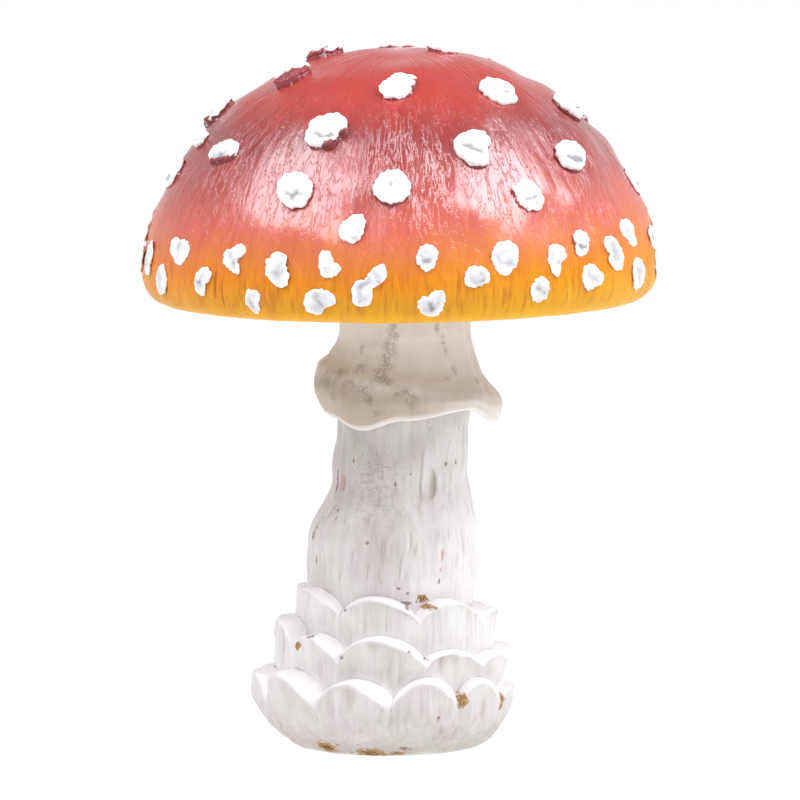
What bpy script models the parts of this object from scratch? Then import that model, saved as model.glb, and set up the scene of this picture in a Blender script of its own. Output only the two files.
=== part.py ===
"""Resin toadstool ornament, about 150 mm tall, as the castings that it goes together from.

Frame: +Z up, the front looks along -Y, and the origin is the middle of the foot's flat
underside. Lengths are in metres. A turn is an angle in degrees round the upright axis,
0 at the front and growing towards +X. A shift moves a ring along X, because the stem
leans and each tier of scales was laid on by hand.
"""

import bisect
import math
import random

import bmesh
import bpy
from mathutils import Vector

# Clearance between castings that touch
GAP = 0.0003

# Foot: a bowl with a socket for the stem and a recess for the middle tier
BASE_RADIUS = 0.0214
BOWL_HEIGHT = 0.013
BOWL_FULLNESS = 1.15
SOCKET_FLOOR = 0.0050
SOCKET_DEPTH = 0.0057
FOOT_WALL = 0.0034
FOOT_SHIFT = -0.0013

# Middle and top tier of scales, each a ring round the stem that seats in the one below
MIDDLE_LEDGE_RISE = 0.0078
MIDDLE_WALL = 0.0030
MIDDLE_FLARE = 0.0012
MIDDLE_SHIFT = -0.0001
MIDDLE_LIP_SHIFT = 0.0008
TOP_WALL = 0.0026
TOP_FLARE = 0.0008
TOP_SHIFT = 0.0013
TOP_LIP_SHIFT = 0.0019

# Scales of each tier: turn of the notch that each starts from, rise of its lip over the
# ledge of its tier (for the top tier over the ledge that it stands on), and how far
# across the scale the lip is highest
FOOT_SCALES = (
    (-97, 0.0060, 0.50), (-63, 0.0078, 0.28), (-32, 0.0067, 0.48), (3, 0.0070, 0.55),
    (36, 0.0061, 0.42), (68, 0.0036, 0.50), (100, 0.0038, 0.55), (133, 0.0046, 0.45),
    (165, 0.0052, 0.52), (198, 0.0054, 0.48), (230, 0.0056, 0.50),
)
MIDDLE_SCALES = (
    (-88, 0.0100, 0.50), (-53, 0.0076, 0.30), (-31, 0.0078, 0.42), (17, 0.0045, 0.50),
    (51, 0.0031, 0.45), (85, 0.0034, 0.50), (121, 0.0044, 0.55), (160, 0.0058, 0.48),
    (196, 0.0074, 0.50), (233, 0.0090, 0.52),
)
TOP_SCALES = (
    (-82, 0.0168, 0.45), (-35, 0.0159, 0.46), (14, 0.0150, 0.45), (60, 0.0122, 0.45),
    (107, 0.0114, 0.50), (151, 0.0125, 0.52), (194, 0.0142, 0.50), (236, 0.0160, 0.50),
)
FOOT_NOTCH = 0.36
MIDDLE_NOTCH = 0.45
TOP_NOTCH = 0.75
SCALE_ARCH = 0.60
SCALE_PINCH = 0.0008
FOOT_BEVEL = 0.0021
FOOT_NOTCH_BEVEL = 0.0040
RING_BEVEL = 0.0017
RING_NOTCH_BEVEL = 0.0022
STEPS_PER_SCALE = 6
FOOT_RINGS = (0.15, 0.35, 0.58, 0.80, 1.0)
RING_RINGS = (0.5, 1.0)

# Stem: a butt in the foot, a belly over the top tier, a taper to the waist, a shoulder
# that carries the skirt, a neck through the skirt and a tenon in the cap
STEM_SHIFT = -0.0009
STEM_LEAN = 0.0045
BUTT_RADIUS = 0.0150
BELLY_RADIUS = 0.0181
BELLY_RISE = 0.0162
BELLY_LENGTH = 0.0090
TAPER_LENGTH = 0.0140
WAIST_RADIUS = 0.0142
UPPER_LENGTH = 0.0175
NECK_LENGTH = 0.0217
TENON_RADIUS = 0.0080
NECK_STEP = 0.0037
SHOULDER_STEP = 0.0022
TENON_LENGTH = 0.0178
STEM_SIDES = 40
STEM_RINGS = (0.20, 0.28, 0.34, 0.41, 0.48, 0.56, 0.68, 0.82, 1.0)

# Swellings of the stem, by hand: turn, height, rise, and spread round and up the stem
STEM_SWELLINGS = (
    (-74, 0.0455, 0.0008, 34, 0.0040),
    (78, 0.0450, -0.0012, 36, 0.0070),
    (8, 0.0560, 0.0007, 26, 0.0070),
    (150, 0.0470, 0.0011, 36, 0.0060),
    (-140, 0.0600, 0.0008, 30, 0.0080),
)
FLUTE_COUNT = 7
FLUTE_DEPTH = 0.0003

# Skirt, in folds laid by hand: turn, rise of its widest part over the stem's shoulder,
# reach beyond its tube, drop of the hem below the shoulder, and room between hem and stem
SKIRT_FOLDS = (
    (-90, 0.0060, 0.0056, 0.0049, 0.0003),
    (-35, 0.0045, 0.0056, 0.0056, 0.0021),
    (0, 0.0035, 0.0056, 0.0042, 0.0029),
    (45, 0.0018, 0.0062, 0.0020, 0.0035),
    (90, 0.0002, 0.0073, 0.0054, 0.0042),
    (140, 0.0015, 0.0058, 0.0030, 0.0029),
    (215, 0.0040, 0.0054, 0.0040, 0.0017),
)
SKIRT_TUBE_WALL = 0.0020
SKIRT_FLARE_RISE = 0.0125
SKIRT_WALL = 0.0016
SKIRT_FOLD_WALL = 0.0023
SKIRT_SIDES = 46
# Share of the reach gained, and share of the way down to the widest part or to the hem
SKIRT_FLARE = ((0.12, 0.34), (0.36, 0.66), (0.86, 1.0))
SKIRT_FALL = ((1.0, 0.42), (0.55, 0.80))

# Gill disc: a plate under the cap with ridges that run out from the hub
GILL_COUNT = 48
GILL_PLATE = 0.0037
HUB_LAND = 0.0010
HUB_DROP = 0.0006
GILL_DEPTH = 0.0019
GILL_DEPTH_AT_HUB = 0.0005
GILL_DEEPEST = 0.75
GILL_RINGS = (0.04, 0.28, 0.55, 0.80, 0.97)
GILL_EDGE = 0.6

# Cap: a dome over a belt, and a rim that rolls in under it
CAP_RADIUS = 0.0550
CAP_SHIFT = 0.0025
CAP_RISE = 0.0469
CAP_LEAN = 0.010
DOME_FULLNESS = 2.2
CROWN_FULLNESS = 1.7
ROLL_IN = 0.0050
ROLL_DROP = 0.0064
RIM_OVERHANG = 0.0015
RIM_WIDTH = 0.0024
RIM_FILLET = 0.0006
CAP_SIDES = 56
CAP_RINGS = (
    0.05, 0.12, 0.19, 0.26, 0.33, 0.40, 0.47, 0.54, 0.61, 0.68, 0.75, 0.81, 0.86,
    0.907, 0.935, 0.96, 0.98, 1.0,
)
DOME_STEPS = 240
ROLL_STEPS = 60

# Steel dowel between the tenon and the cap
DOWEL_RADIUS = 0.0020
DOWEL_LENGTH = 0.0264
DOWEL_SIDES = 16

# Warts that are pieces of their own: turn, share of the way from crown to rim, width
# across, length down the dome
WARTS = (
    (-100, 0.18, 0.0090, 0.0080), (-65, 0.29, 0.0086, 0.0082), (-94, 0.47, 0.0080, 0.0080),
    (0, 0.30, 0.0086, 0.0082), (46, 0.34, 0.0090, 0.0082), (-23, 0.48, 0.0094, 0.0086),
    (-58, 0.57, 0.0088, 0.0072), (21, 0.53, 0.0084, 0.0084), (56, 0.57, 0.0088, 0.0080),
    (-82, 0.645, 0.0070, 0.0072), (-27, 0.653, 0.0086, 0.0080), (-2, 0.64, 0.0080, 0.0078),
    (34, 0.674, 0.0076, 0.0074), (78, 0.44, 0.0080, 0.0080), (87, 0.10, 0.0070, 0.0062),
    (84, 0.674, 0.0074, 0.0072), (-12, 0.748, 0.0060, 0.0064), (-77, 0.545, 0.0046, 0.0040),
    (-90, 0.79, 0.0056, 0.0074), (-76, 0.855, 0.0046, 0.0070), (-61, 0.828, 0.0048, 0.0066),
    (-66, 0.893, 0.0044, 0.0056), (-50, 0.899, 0.0050, 0.0058), (-40, 0.839, 0.0056, 0.0066),
    (-34, 0.933, 0.0040, 0.0048), (-28, 0.856, 0.0056, 0.0070), (-18, 0.927, 0.0058, 0.0054),
    (-16, 0.840, 0.0046, 0.0056), (-6, 0.880, 0.0054, 0.0084), (5, 0.825, 0.0042, 0.0060),
    (6, 0.932, 0.0058, 0.0054), (17, 0.876, 0.0048, 0.0056), (23, 0.828, 0.0050, 0.0062),
    (31, 0.908, 0.0046, 0.0058), (37, 0.836, 0.0046, 0.0068), (45, 0.803, 0.0048, 0.0060),
    (46, 0.888, 0.0056, 0.0060), (55, 0.833, 0.0056, 0.0070), (64, 0.795, 0.0050, 0.0056),
    (66, 0.891, 0.0050, 0.0064), (81, 0.820, 0.0048, 0.0050), (83, 0.885, 0.0048, 0.0052),
    (180, 0.17, 0.0088, 0.0084), (130, 0.27, 0.0086, 0.0080), (224, 0.29, 0.0088, 0.0082),
    (108, 0.48, 0.0082, 0.0080), (143, 0.47, 0.0090, 0.0084), (178, 0.44, 0.0088, 0.0080),
    (212, 0.50, 0.0088, 0.0082), (240, 0.53, 0.0080, 0.0078), (160, 0.60, 0.0084, 0.0080),
    (195, 0.63, 0.0084, 0.0078),
)
WART_RISE = 0.0023
WART_RISE_AT_RIM = 0.0008
WART_SIDES = 8
WART_RAGGED = 0.10
WART_SEED = 7
# Width of the overhanging edge and of the top of a wart, and share of its rise there
WART_LEVELS = ((1.0, 0.45), (0.76, 0.92))
WART_BASE = 0.80

# Warts cast with the back of the cap, in rows: share of the way to the rim, first and
# last turn, count, width and length
BACK_ROWS = (
    (0.66, 112, 246, 5, 0.0074, 0.0072),
    (0.785, 98, 255, 10, 0.0052, 0.0062),
    (0.875, 106, 270, 12, 0.0052, 0.0060),
)
BACK_JITTER = 1.5
FUSED_SINK = 0.0006

SHARP_EDGE = math.radians(38)

# Radii and heights that follow from the sizes above, from the middle out and upwards
NECK_RADIUS = TENON_RADIUS + NECK_STEP
SHOULDER_RADIUS = NECK_RADIUS + SHOULDER_STEP
SKIRT_TUBE_RADIUS = NECK_RADIUS + GAP + SKIRT_TUBE_WALL
HUB_RADIUS = SKIRT_TUBE_RADIUS + HUB_LAND
RECESS_RADIUS = CAP_RADIUS - ROLL_IN - RIM_WIDTH
GILL_RADIUS = RECESS_RADIUS - GAP
TOP_SEAT_RADIUS = BELLY_RADIUS + GAP + TOP_WALL
MIDDLE_RECESS = TOP_SEAT_RADIUS + GAP
MIDDLE_SEAT_RADIUS = MIDDLE_RECESS + MIDDLE_WALL
FOOT_RECESS = MIDDLE_SEAT_RADIUS + GAP
FOOT_RADIUS = FOOT_RECESS + FOOT_WALL
FOOT_LEDGE = SOCKET_FLOOR + SOCKET_DEPTH
MIDDLE_BOTTOM = FOOT_LEDGE + GAP
MIDDLE_LEDGE = FOOT_LEDGE + MIDDLE_LEDGE_RISE
TOP_BOTTOM = MIDDLE_LEDGE + GAP
BELLY_BOTTOM = TOP_BOTTOM + BELLY_RISE
BELLY_TOP = BELLY_BOTTOM + BELLY_LENGTH
WAIST_HEIGHT = BELLY_TOP + TAPER_LENGTH
SHOULDER_HEIGHT = WAIST_HEIGHT + UPPER_LENGTH
NECK_TOP = SHOULDER_HEIGHT + NECK_LENGTH
TENON_TOP = NECK_TOP + TENON_LENGTH
DOWEL_BOTTOM = TENON_TOP + (GAP - DOWEL_LENGTH) / 2
DOWEL_TOP = DOWEL_BOTTOM + DOWEL_LENGTH
HUB_BOTTOM = NECK_TOP + GAP
GILL_TOP = HUB_BOTTOM + GILL_PLATE
RECESS_CEILING = GILL_TOP + GAP
RIM_HEIGHT = HUB_BOTTOM - RIM_OVERHANG
BELT_HEIGHT = RIM_HEIGHT + ROLL_DROP


def blend(start, end, share):
    """The value that lies a share of the way from start to end."""
    return start + (end - start) * share


def ease(low, high, value):
    """0 below low, 1 above high, and a smooth step between them."""
    share = min(max((value - low) / (high - low), 0.0), 1.0)
    return share * share * (3 - 2 * share)


def spot(turn, radius, height, shift=0.0):
    """A point at a turn and radius about an upright axis moved along X."""
    angle = math.radians(turn)
    return Vector((shift + radius * math.sin(angle), -radius * math.cos(angle), height))


def even_turns(sides):
    """Turns of equal steps once round."""
    return [360 * side / sides for side in range(sides)]


def linear_colour(code):
    """Linear colour of an sRGB hex code."""
    channels = [int(code[place:place + 2], 16) / 255 for place in (0, 2, 4)]
    knee = 0.04045
    bright = [((value + 0.055) / 1.055) ** 2.4 for value in channels]
    dark = [value / 12.92 for value in channels]
    return [low if value <= knee else high
            for value, low, high in zip(channels, dark, bright)] + [1.0]


def finish(name, code, roughness, metallic=0.0):
    """A material of one colour."""
    material = bpy.data.materials.new(name)
    material.use_nodes = True
    shader = material.node_tree.nodes["Principled BSDF"]
    shader.inputs["Base Color"].default_value = linear_colour(code)
    shader.inputs["Roughness"].default_value = roughness
    shader.inputs["Metallic"].default_value = metallic
    return material


def join_rows(solid, lower, upper):
    """Faces between two rows of as many vertices, or between a row and a pole."""
    sides = max(len(lower), len(upper))
    for side in range(sides):
        after = (side + 1) % sides
        corners = [lower[side % len(lower)], lower[after % len(lower)],
                   upper[after % len(upper)], upper[side % len(upper)]]
        solid.faces.new(list(dict.fromkeys(corners)))


def loft(solid, rows, ring=False):
    """A closed body through rows of points, round into itself or closed at both ends."""
    loops = [[solid.verts.new(point) for point in row] for row in rows]
    for lower, upper in zip(loops, loops[1:]):
        join_rows(solid, lower, upper)
    if ring:
        join_rows(solid, loops[-1], loops[0])
        return
    for end in (loops[0], loops[-1]):
        if len(end) > 1:
            solid.faces.new(end)


def place(name, solid, material, parent, seat=(0, 0, 0)):
    """An object of a bmesh body, with its own origin at its seat."""
    bmesh.ops.recalc_face_normals(solid, faces=solid.faces)
    bmesh.ops.translate(solid, verts=solid.verts, vec=-Vector(seat))
    mesh = bpy.data.meshes.new(name)
    solid.to_mesh(mesh)
    solid.free()
    mesh.shade_smooth()
    mesh.set_sharp_from_angle(angle=SHARP_EDGE)
    mesh.materials.append(material)
    piece = bpy.data.objects.new(name, mesh)
    piece.location = seat
    piece.parent = parent
    bpy.context.scene.collection.objects.link(piece)
    return piece


def lofted(name, rows, material, parent, ring=False):
    """A named object lofted through rows of points."""
    solid = bmesh.new()
    loft(solid, rows, ring)
    return place(name, solid, material, parent)


def stem_shift(height):
    """Where the stem's middle lies along X at a height: it leans up to the skirt's tube."""
    share = min(height / (SHOULDER_HEIGHT + SKIRT_FLARE_RISE), 1.0)
    return STEM_SHIFT + STEM_LEAN * math.sin(math.pi / 2 * share) ** 2


def stem_radius(height):
    """Radius of the stem below its shoulder, before its swellings."""
    if height < BELLY_BOTTOM:
        share = (height - SOCKET_FLOOR) / (BELLY_BOTTOM - SOCKET_FLOOR)
        return blend(BUTT_RADIUS, BELLY_RADIUS, share)
    if height < WAIST_HEIGHT:
        return blend(BELLY_RADIUS, WAIST_RADIUS, ease(BELLY_TOP, WAIST_HEIGHT, height))
    share = (height - WAIST_HEIGHT) / (SHOULDER_HEIGHT - WAIST_HEIGHT)
    return blend(WAIST_RADIUS, SHOULDER_RADIUS, share)


def stem_swelling(turn, height):
    """How far the hand-shaped stem stands out of its round form."""
    free = ease(BELLY_BOTTOM, BELLY_TOP, height) * (1 - ease(WAIST_HEIGHT, SHOULDER_HEIGHT, height))
    total = FLUTE_DEPTH * math.cos(math.radians(FLUTE_COUNT * turn))
    for middle, level, rise, spread, reach in STEM_SWELLINGS:
        aside = ((turn - middle + 180) % 360 - 180) / spread
        above = (height - level) / reach
        total += rise * math.exp(-aside * aside - above * above)
    return free * total


def stem_row(height, turns, clearance=0.0):
    """The stem's outline at a height, or the bore that clears it."""
    return [spot(turn, stem_radius(height) + clearance, height, stem_shift(height))
            for turn in turns]


def build_stem(material, parent):
    """The stem: butt, belly, waist, shoulder, neck and a tenon with a blind bore."""
    turns = even_turns(STEM_SIDES)
    butt = SOCKET_FLOOR + GAP
    rows = [stem_row(butt, turns), stem_row(FOOT_LEDGE, turns), stem_row(BELLY_BOTTOM, turns)]
    for level in STEM_RINGS:
        height = blend(BELLY_BOTTOM, SHOULDER_HEIGHT, level)
        rows.append([spot(turn, stem_radius(height) + stem_swelling(turn, height),
                          height, stem_shift(height)) for turn in turns])
    bore = DOWEL_RADIUS + GAP
    steps = (
        (NECK_RADIUS, SHOULDER_HEIGHT), (NECK_RADIUS, NECK_TOP),
        (TENON_RADIUS, NECK_TOP), (TENON_RADIUS, TENON_TOP),
        (bore, TENON_TOP), (bore, DOWEL_BOTTOM - GAP),
    )
    for radius, height in steps:
        rows.append([spot(turn, radius, height, stem_shift(height)) for turn in turns])
    return lofted("stem", rows, material, parent)


def scale_width(scales, index):
    """Degrees from one scale's notch to the next."""
    return (scales[(index + 1) % len(scales)][0] - scales[index][0]) % 360


def scale_at(scales, notch, turn):
    """Rise of a tier's lip at a turn, and its swell: 0 in a notch, 1 at the highest."""
    for index, (start, crest, peak) in enumerate(scales):
        share = ((turn - start) % 360) / scale_width(scales, index)
        if share < 1:
            beside = scales[index - 1 if share < peak else (index + 1) % len(scales)]
            low = notch * (crest + beside[1]) / 2
            way = share / peak if share < peak else (1 - share) / (1 - peak)
            swell = math.sin(math.pi / 2 * way) ** SCALE_ARCH
            return blend(low, crest, swell), swell
    return 0.0, 0.0


def scale_turns(scales):
    """Turns of a tier's columns, with one in each notch and one at each lip's highest."""
    turns = []
    for index, (start, _, peak) in enumerate(scales):
        width = scale_width(scales, index)
        for step in range(STEPS_PER_SCALE):
            way = 2 * step / STEPS_PER_SCALE
            share = way * peak if way < 1 else 1 - (2 - way) * (1 - peak)
            turns.append(start + width * share)
    return turns


def foot_lip(turn):
    """Height of the back of the foot's lip, and the swell of its scale."""
    rise, swell = scale_at(FOOT_SCALES, FOOT_NOTCH, turn)
    return FOOT_LEDGE + rise, swell


def middle_lip(turn):
    """Height of the back of the middle tier's lip, and the swell of its scale."""
    rise, swell = scale_at(MIDDLE_SCALES, MIDDLE_NOTCH, turn)
    return MIDDLE_LEDGE + rise, swell


def top_lip(turn):
    """Height of the back of the top tier's lip, and the swell of its scale."""
    rise, swell = scale_at(TOP_SCALES, TOP_NOTCH, turn)
    return MIDDLE_LEDGE + rise, swell


def bowl_radius(height):
    """Radius of the foot's bowl at a height."""
    share = min(height / BOWL_HEIGHT, 1.0)
    return blend(BASE_RADIUS, FOOT_RADIUS, (1 - (1 - share) ** 2) ** BOWL_FULLNESS)


def build_foot(material, parent):
    """The bulb foot: scalloped bowl, recess for the middle tier, socket for the stem."""
    turns = scale_turns(FOOT_SCALES)
    rows = [[spot(turn, BASE_RADIUS, 0) for turn in turns]]
    for share in FOOT_RINGS:
        row = []
        for turn in turns:
            lip, swell = foot_lip(turn)
            height = share * (lip - blend(FOOT_NOTCH_BEVEL, FOOT_BEVEL, swell))
            radius = bowl_radius(height) - SCALE_PINCH * (1 - swell) * share
            row.append(spot(turn, radius, height, FOOT_SHIFT * share))
        rows.append(row)
    half = (FOOT_WALL - SCALE_PINCH) / 2
    rows.append([spot(turn, FOOT_RECESS + half, foot_lip(turn)[0] - GAP,
                      blend(FOOT_SHIFT, MIDDLE_SHIFT, 0.5)) for turn in turns])
    rows.append([spot(turn, FOOT_RECESS, foot_lip(turn)[0], MIDDLE_SHIFT) for turn in turns])
    rows.append([spot(turn, FOOT_RECESS, FOOT_LEDGE, MIDDLE_SHIFT) for turn in turns])
    rows.append(stem_row(FOOT_LEDGE, turns, GAP))
    rows.append(stem_row(SOCKET_FLOOR, turns, GAP))
    return lofted("bulb_foot", rows, material, parent)


def scale_ring(name, turns, lip_at, lip_below, sizes, material, parent):
    """A tier of scales: a ring that stands in the tier below and flares over its lip."""
    bottom, seat, flare, shift, lip_shift, inner_rows = sizes
    rows = [[spot(turn, seat, bottom, shift) for turn in turns]]
    rows.append([spot(turn, seat, lip_below(turn)[0] + GAP, shift) for turn in turns])
    for share in RING_RINGS:
        row = []
        for turn in turns:
            lip, swell = lip_at(turn)
            start = lip_below(turn)[0] + GAP
            edge = max(lip - blend(RING_NOTCH_BEVEL, RING_BEVEL, swell), start + GAP)
            height = blend(start, edge, share)
            radius = seat + (flare - SCALE_PINCH * (1 - swell)) * share
            row.append(spot(turn, radius, height, blend(shift, lip_shift, share)))
        rows.append(row)
    rows += inner_rows
    return lofted(name, rows, material, parent, ring=True)


def build_middle_ring(material, parent):
    """The middle tier, with a recess for the top tier."""
    turns = scale_turns(MIDDLE_SCALES)
    inner_rows = [
        [spot(turn, MIDDLE_RECESS + MIDDLE_WALL / 2, middle_lip(turn)[0] - GAP, TOP_SHIFT)
         for turn in turns],
        [spot(turn, MIDDLE_RECESS, middle_lip(turn)[0], TOP_SHIFT) for turn in turns],
        [spot(turn, MIDDLE_RECESS, MIDDLE_LEDGE, TOP_SHIFT) for turn in turns],
        stem_row(MIDDLE_LEDGE, turns, GAP),
        stem_row(MIDDLE_BOTTOM, turns, GAP),
    ]
    sizes = (MIDDLE_BOTTOM, MIDDLE_SEAT_RADIUS, MIDDLE_FLARE, MIDDLE_SHIFT,
             MIDDLE_LIP_SHIFT, inner_rows)
    return scale_ring("scale_ring_middle", turns, middle_lip, foot_lip, sizes,
                      material, parent)


def build_top_ring(material, parent):
    """The top tier, close round the stem."""
    turns = scale_turns(TOP_SCALES)
    shoulder = [spot(turn, stem_radius(top_lip(turn)[0]) + GAP + TOP_WALL / 2,
                     top_lip(turn)[0] - GAP, TOP_SHIFT) for turn in turns]
    bore_top = [stem_row(top_lip(turn)[0], [turn], GAP)[0] for turn in turns]
    inner_rows = [shoulder, bore_top, stem_row(TOP_BOTTOM, turns, GAP)]
    sizes = (TOP_BOTTOM, TOP_SEAT_RADIUS, TOP_FLARE, TOP_SHIFT, TOP_LIP_SHIFT, inner_rows)
    return scale_ring("scale_ring_top", turns, top_lip, middle_lip, sizes, material, parent)


def fold_at(turn):
    """Rise, reach, drop and room of the skirt at a turn, eased between its folds."""
    count = len(SKIRT_FOLDS)
    for index, fold in enumerate(SKIRT_FOLDS):
        after = SKIRT_FOLDS[(index + 1) % count]
        share = ((turn - fold[0]) % 360) / ((after[0] - fold[0]) % 360)
        if share < 1:
            smooth = 0.5 - 0.5 * math.cos(math.pi * share)
            return [blend(here, there, smooth) for here, there in zip(fold[1:], after[1:])]
    return list(SKIRT_FOLDS[0][1:])


def skirt_section(turn):
    """Radius and height round the wall of the skirt at a turn, from its top inwards."""
    rise, gain, drop, room = fold_at(turn)
    tube = SKIRT_TUBE_RADIUS
    reach = tube + gain
    bore = NECK_RADIUS + GAP
    seat = SHOULDER_HEIGHT + GAP
    flare = SHOULDER_HEIGHT + SKIRT_FLARE_RISE
    widest = SHOULDER_HEIGHT + rise
    hem = SHOULDER_HEIGHT - drop
    inside = stem_radius(hem) + GAP + room
    outside = inside + SKIRT_WALL
    section = [(bore, NECK_TOP), (tube, NECK_TOP), (tube, flare)]
    for gained, way in SKIRT_FLARE:
        section.append((blend(tube, reach, gained), blend(flare, widest, way)))
    for kept, way in SKIRT_FALL:
        section.append((blend(outside, reach, kept), blend(widest, hem, way)))
    section += [
        (outside, hem + SKIRT_WALL / 4),
        (outside - SKIRT_WALL / 2, hem),
        (inside, hem + SKIRT_WALL / 4),
        (max(reach - SKIRT_FOLD_WALL, SHOULDER_RADIUS + SKIRT_WALL), seat - SKIRT_WALL / 2),
        (SHOULDER_RADIUS + SKIRT_WALL / 2, seat),
        (bore, seat),
    ]
    return section


def build_skirt(material, parent):
    """The skirt: a tube round the neck that flares into a collar with a drooping hem."""
    turns = even_turns(SKIRT_SIDES)
    sections = [skirt_section(turn) for turn in turns]
    rows = []
    for step in range(len(sections[0])):
        rows.append([spot(turn, section[step][0], section[step][1],
                          stem_shift(section[step][1]))
                     for turn, section in zip(turns, sections)])
    return lofted("skirt_collar", rows, material, parent, ring=True)


def lean_of_cap(point):
    """The point raised or lowered by the lean of the cap, which grows towards the rim."""
    reach = math.hypot(point.x - CAP_SHIFT, point.y) / CAP_RADIUS
    return point + Vector((0, 0, CAP_LEAN * (point.x - CAP_SHIFT) * reach * reach))


def cap_row(turns, radius, height, shift=CAP_SHIFT):
    """A ring of the cap, with its lean."""
    return [lean_of_cap(spot(turn, radius, height, shift)) for turn in turns]


def gill_row(turns, radius, shift):
    """A row across the gills: ridges at every other turn, and valleys between them."""
    share = (radius - HUB_RADIUS) / (GILL_RADIUS - HUB_RADIUS)
    depth = blend(GILL_DEPTH_AT_HUB, GILL_DEPTH,
                  math.sin(math.pi / 2 * min(share / GILL_DEEPEST, 1.0)))
    ridge = HUB_BOTTOM + HUB_DROP
    return [lean_of_cap(spot(turn, radius, ridge + depth * (index % 2), shift))
            for index, turn in enumerate(turns)]


def build_gills(material, parent):
    """The gill disc: a plate with a flat hub and radial ridges on its underside."""
    turns = even_turns(2 * GILL_COUNT)
    hole = TENON_RADIUS + GAP
    neck = stem_shift(NECK_TOP)
    rows = [cap_row(turns, hole, HUB_BOTTOM, neck),
            cap_row(turns, HUB_RADIUS, HUB_BOTTOM, neck)]
    for share in GILL_RINGS:
        radius = blend(HUB_RADIUS, GILL_RADIUS, share)
        rows.append(gill_row(turns, radius, blend(neck, CAP_SHIFT, share)))
    rows.append(cap_row(turns, GILL_RADIUS, blend(HUB_BOTTOM, GILL_TOP, GILL_EDGE)))
    rows.append(cap_row(turns, GILL_RADIUS, GILL_TOP))
    rows.append(cap_row(turns, hole, GILL_TOP, neck))
    return lofted("gill_disc", rows, material, parent, ring=True)


def dome_profile():
    """Radius and height down the dome from crown to rim, and the way gone to each."""
    points = []
    for step in range(DOME_STEPS + 1):
        angle = math.pi / 2 * (1 - step / DOME_STEPS)
        radius = CAP_RADIUS * math.cos(angle) ** (2 / DOME_FULLNESS)
        rise = CAP_RISE * math.sin(angle) ** (2 / CROWN_FULLNESS)
        points.append((radius if step else 0.0, BELT_HEIGHT + rise))
    belt = len(points) - 1
    for step in range(1, ROLL_STEPS + 1):
        angle = math.pi / 2 * step / ROLL_STEPS
        points.append((CAP_RADIUS - ROLL_IN * (1 - math.cos(angle)),
                       BELT_HEIGHT - ROLL_DROP * math.sin(angle)))
    way = [0.0]
    for start, end in zip(points, points[1:]):
        way.append(way[-1] + math.dist(start, end))
    return points, way, way[belt]


DOME_POINTS, DOME_WAY, WAY_TO_BELT = dome_profile()


def dome_at(share):
    """Radius, height and outward slope of the dome a share of the way to the rim."""
    way = min(max(share, 0.0), 1.0) * DOME_WAY[-1]
    index = min(bisect.bisect_right(DOME_WAY, way), len(DOME_WAY) - 1)
    start = DOME_POINTS[index - 1]
    end = DOME_POINTS[index]
    part = (way - DOME_WAY[index - 1]) / (DOME_WAY[index] - DOME_WAY[index - 1])
    run = end[0] - start[0]
    drop = start[1] - end[1]
    length = math.hypot(run, drop)
    return (blend(start[0], end[0], part), blend(start[1], end[1], part),
            drop / length, run / length)


def dome_spot(turn, share, rise):
    """A point that stands off the dome by a rise, square to it."""
    radius, height, out, up = dome_at(share)
    return lean_of_cap(spot(turn, radius + rise * out, height + rise * up, CAP_SHIFT))


def beside(turn, share, across, down):
    """Turn and share reached by going across and down the dome from a place on it.

    The dome is read as a ball whose quarter circle is the way from crown to belt.
    """
    ball = WAY_TO_BELT / (math.pi / 2)
    fall = share * DOME_WAY[-1] / ball
    angle = math.radians(turn)
    outward = Vector((math.sin(fall) * math.sin(angle), -math.sin(fall) * math.cos(angle),
                      math.cos(fall)))
    sideways = Vector((math.cos(angle), math.sin(angle), 0))
    downward = Vector((math.cos(fall) * math.sin(angle), -math.cos(fall) * math.cos(angle),
                       -math.sin(fall)))
    moved = (outward + sideways * (across / ball) + downward * (down / ball)).normalized()
    return (math.degrees(math.atan2(moved.x, -moved.y)),
            math.acos(moved.z) * ball / DOME_WAY[-1])


def wart_rows(turn, share, width, length, base, chance):
    """Rows of one wart: a base on the dome, an overhanging edge, and a crowned top."""
    outline = [1 + chance.uniform(-WART_RAGGED, WART_RAGGED) for _ in range(WART_SIDES)]
    top = blend(WART_RISE, WART_RISE_AT_RIM, share)
    levels = [(WART_BASE, base)] + [(scale, GAP + top * part) for scale, part in WART_LEVELS]
    rows = [[dome_spot(turn, share, base)]]
    for scale, rise in levels:
        row = []
        for side, ragged in enumerate(outline):
            angle = 2 * math.pi * side / WART_SIDES
            across = width / 2 * scale * ragged * math.cos(angle)
            down = length / 2 * scale * ragged * math.sin(angle)
            row.append(dome_spot(*beside(turn, share, across, down), rise))
        rows.append(row)
    rows.append([dome_spot(turn, share, GAP + top)])
    return rows


def build_warts(material, parent):
    """The warts that are pieces of their own, each with its origin at its seat."""
    chance = random.Random(WART_SEED)
    for number, (turn, share, width, length) in enumerate(WARTS, start=1):
        solid = bmesh.new()
        loft(solid, wart_rows(turn, share, width, length, GAP, chance))
        place(f"wart_{number:02d}", solid, material, parent, dome_spot(turn, share, GAP))


def back_warts(parent):
    """The warts cast with the back of the cap, as one guide body that is joined to it."""
    chance = random.Random(WART_SEED)
    solid = bmesh.new()
    for share, first, last, count, width, length in BACK_ROWS:
        for index in range(count):
            turn = blend(first, last, index / (count - 1))
            turn += chance.uniform(-BACK_JITTER, BACK_JITTER)
            loft(solid, wart_rows(turn, share, width, length, -FUSED_SINK, chance))
    guide = place("back_warts_guide", solid, None, parent)
    guide.hide_render = True
    guide.display_type = 'WIRE'
    return guide


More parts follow.
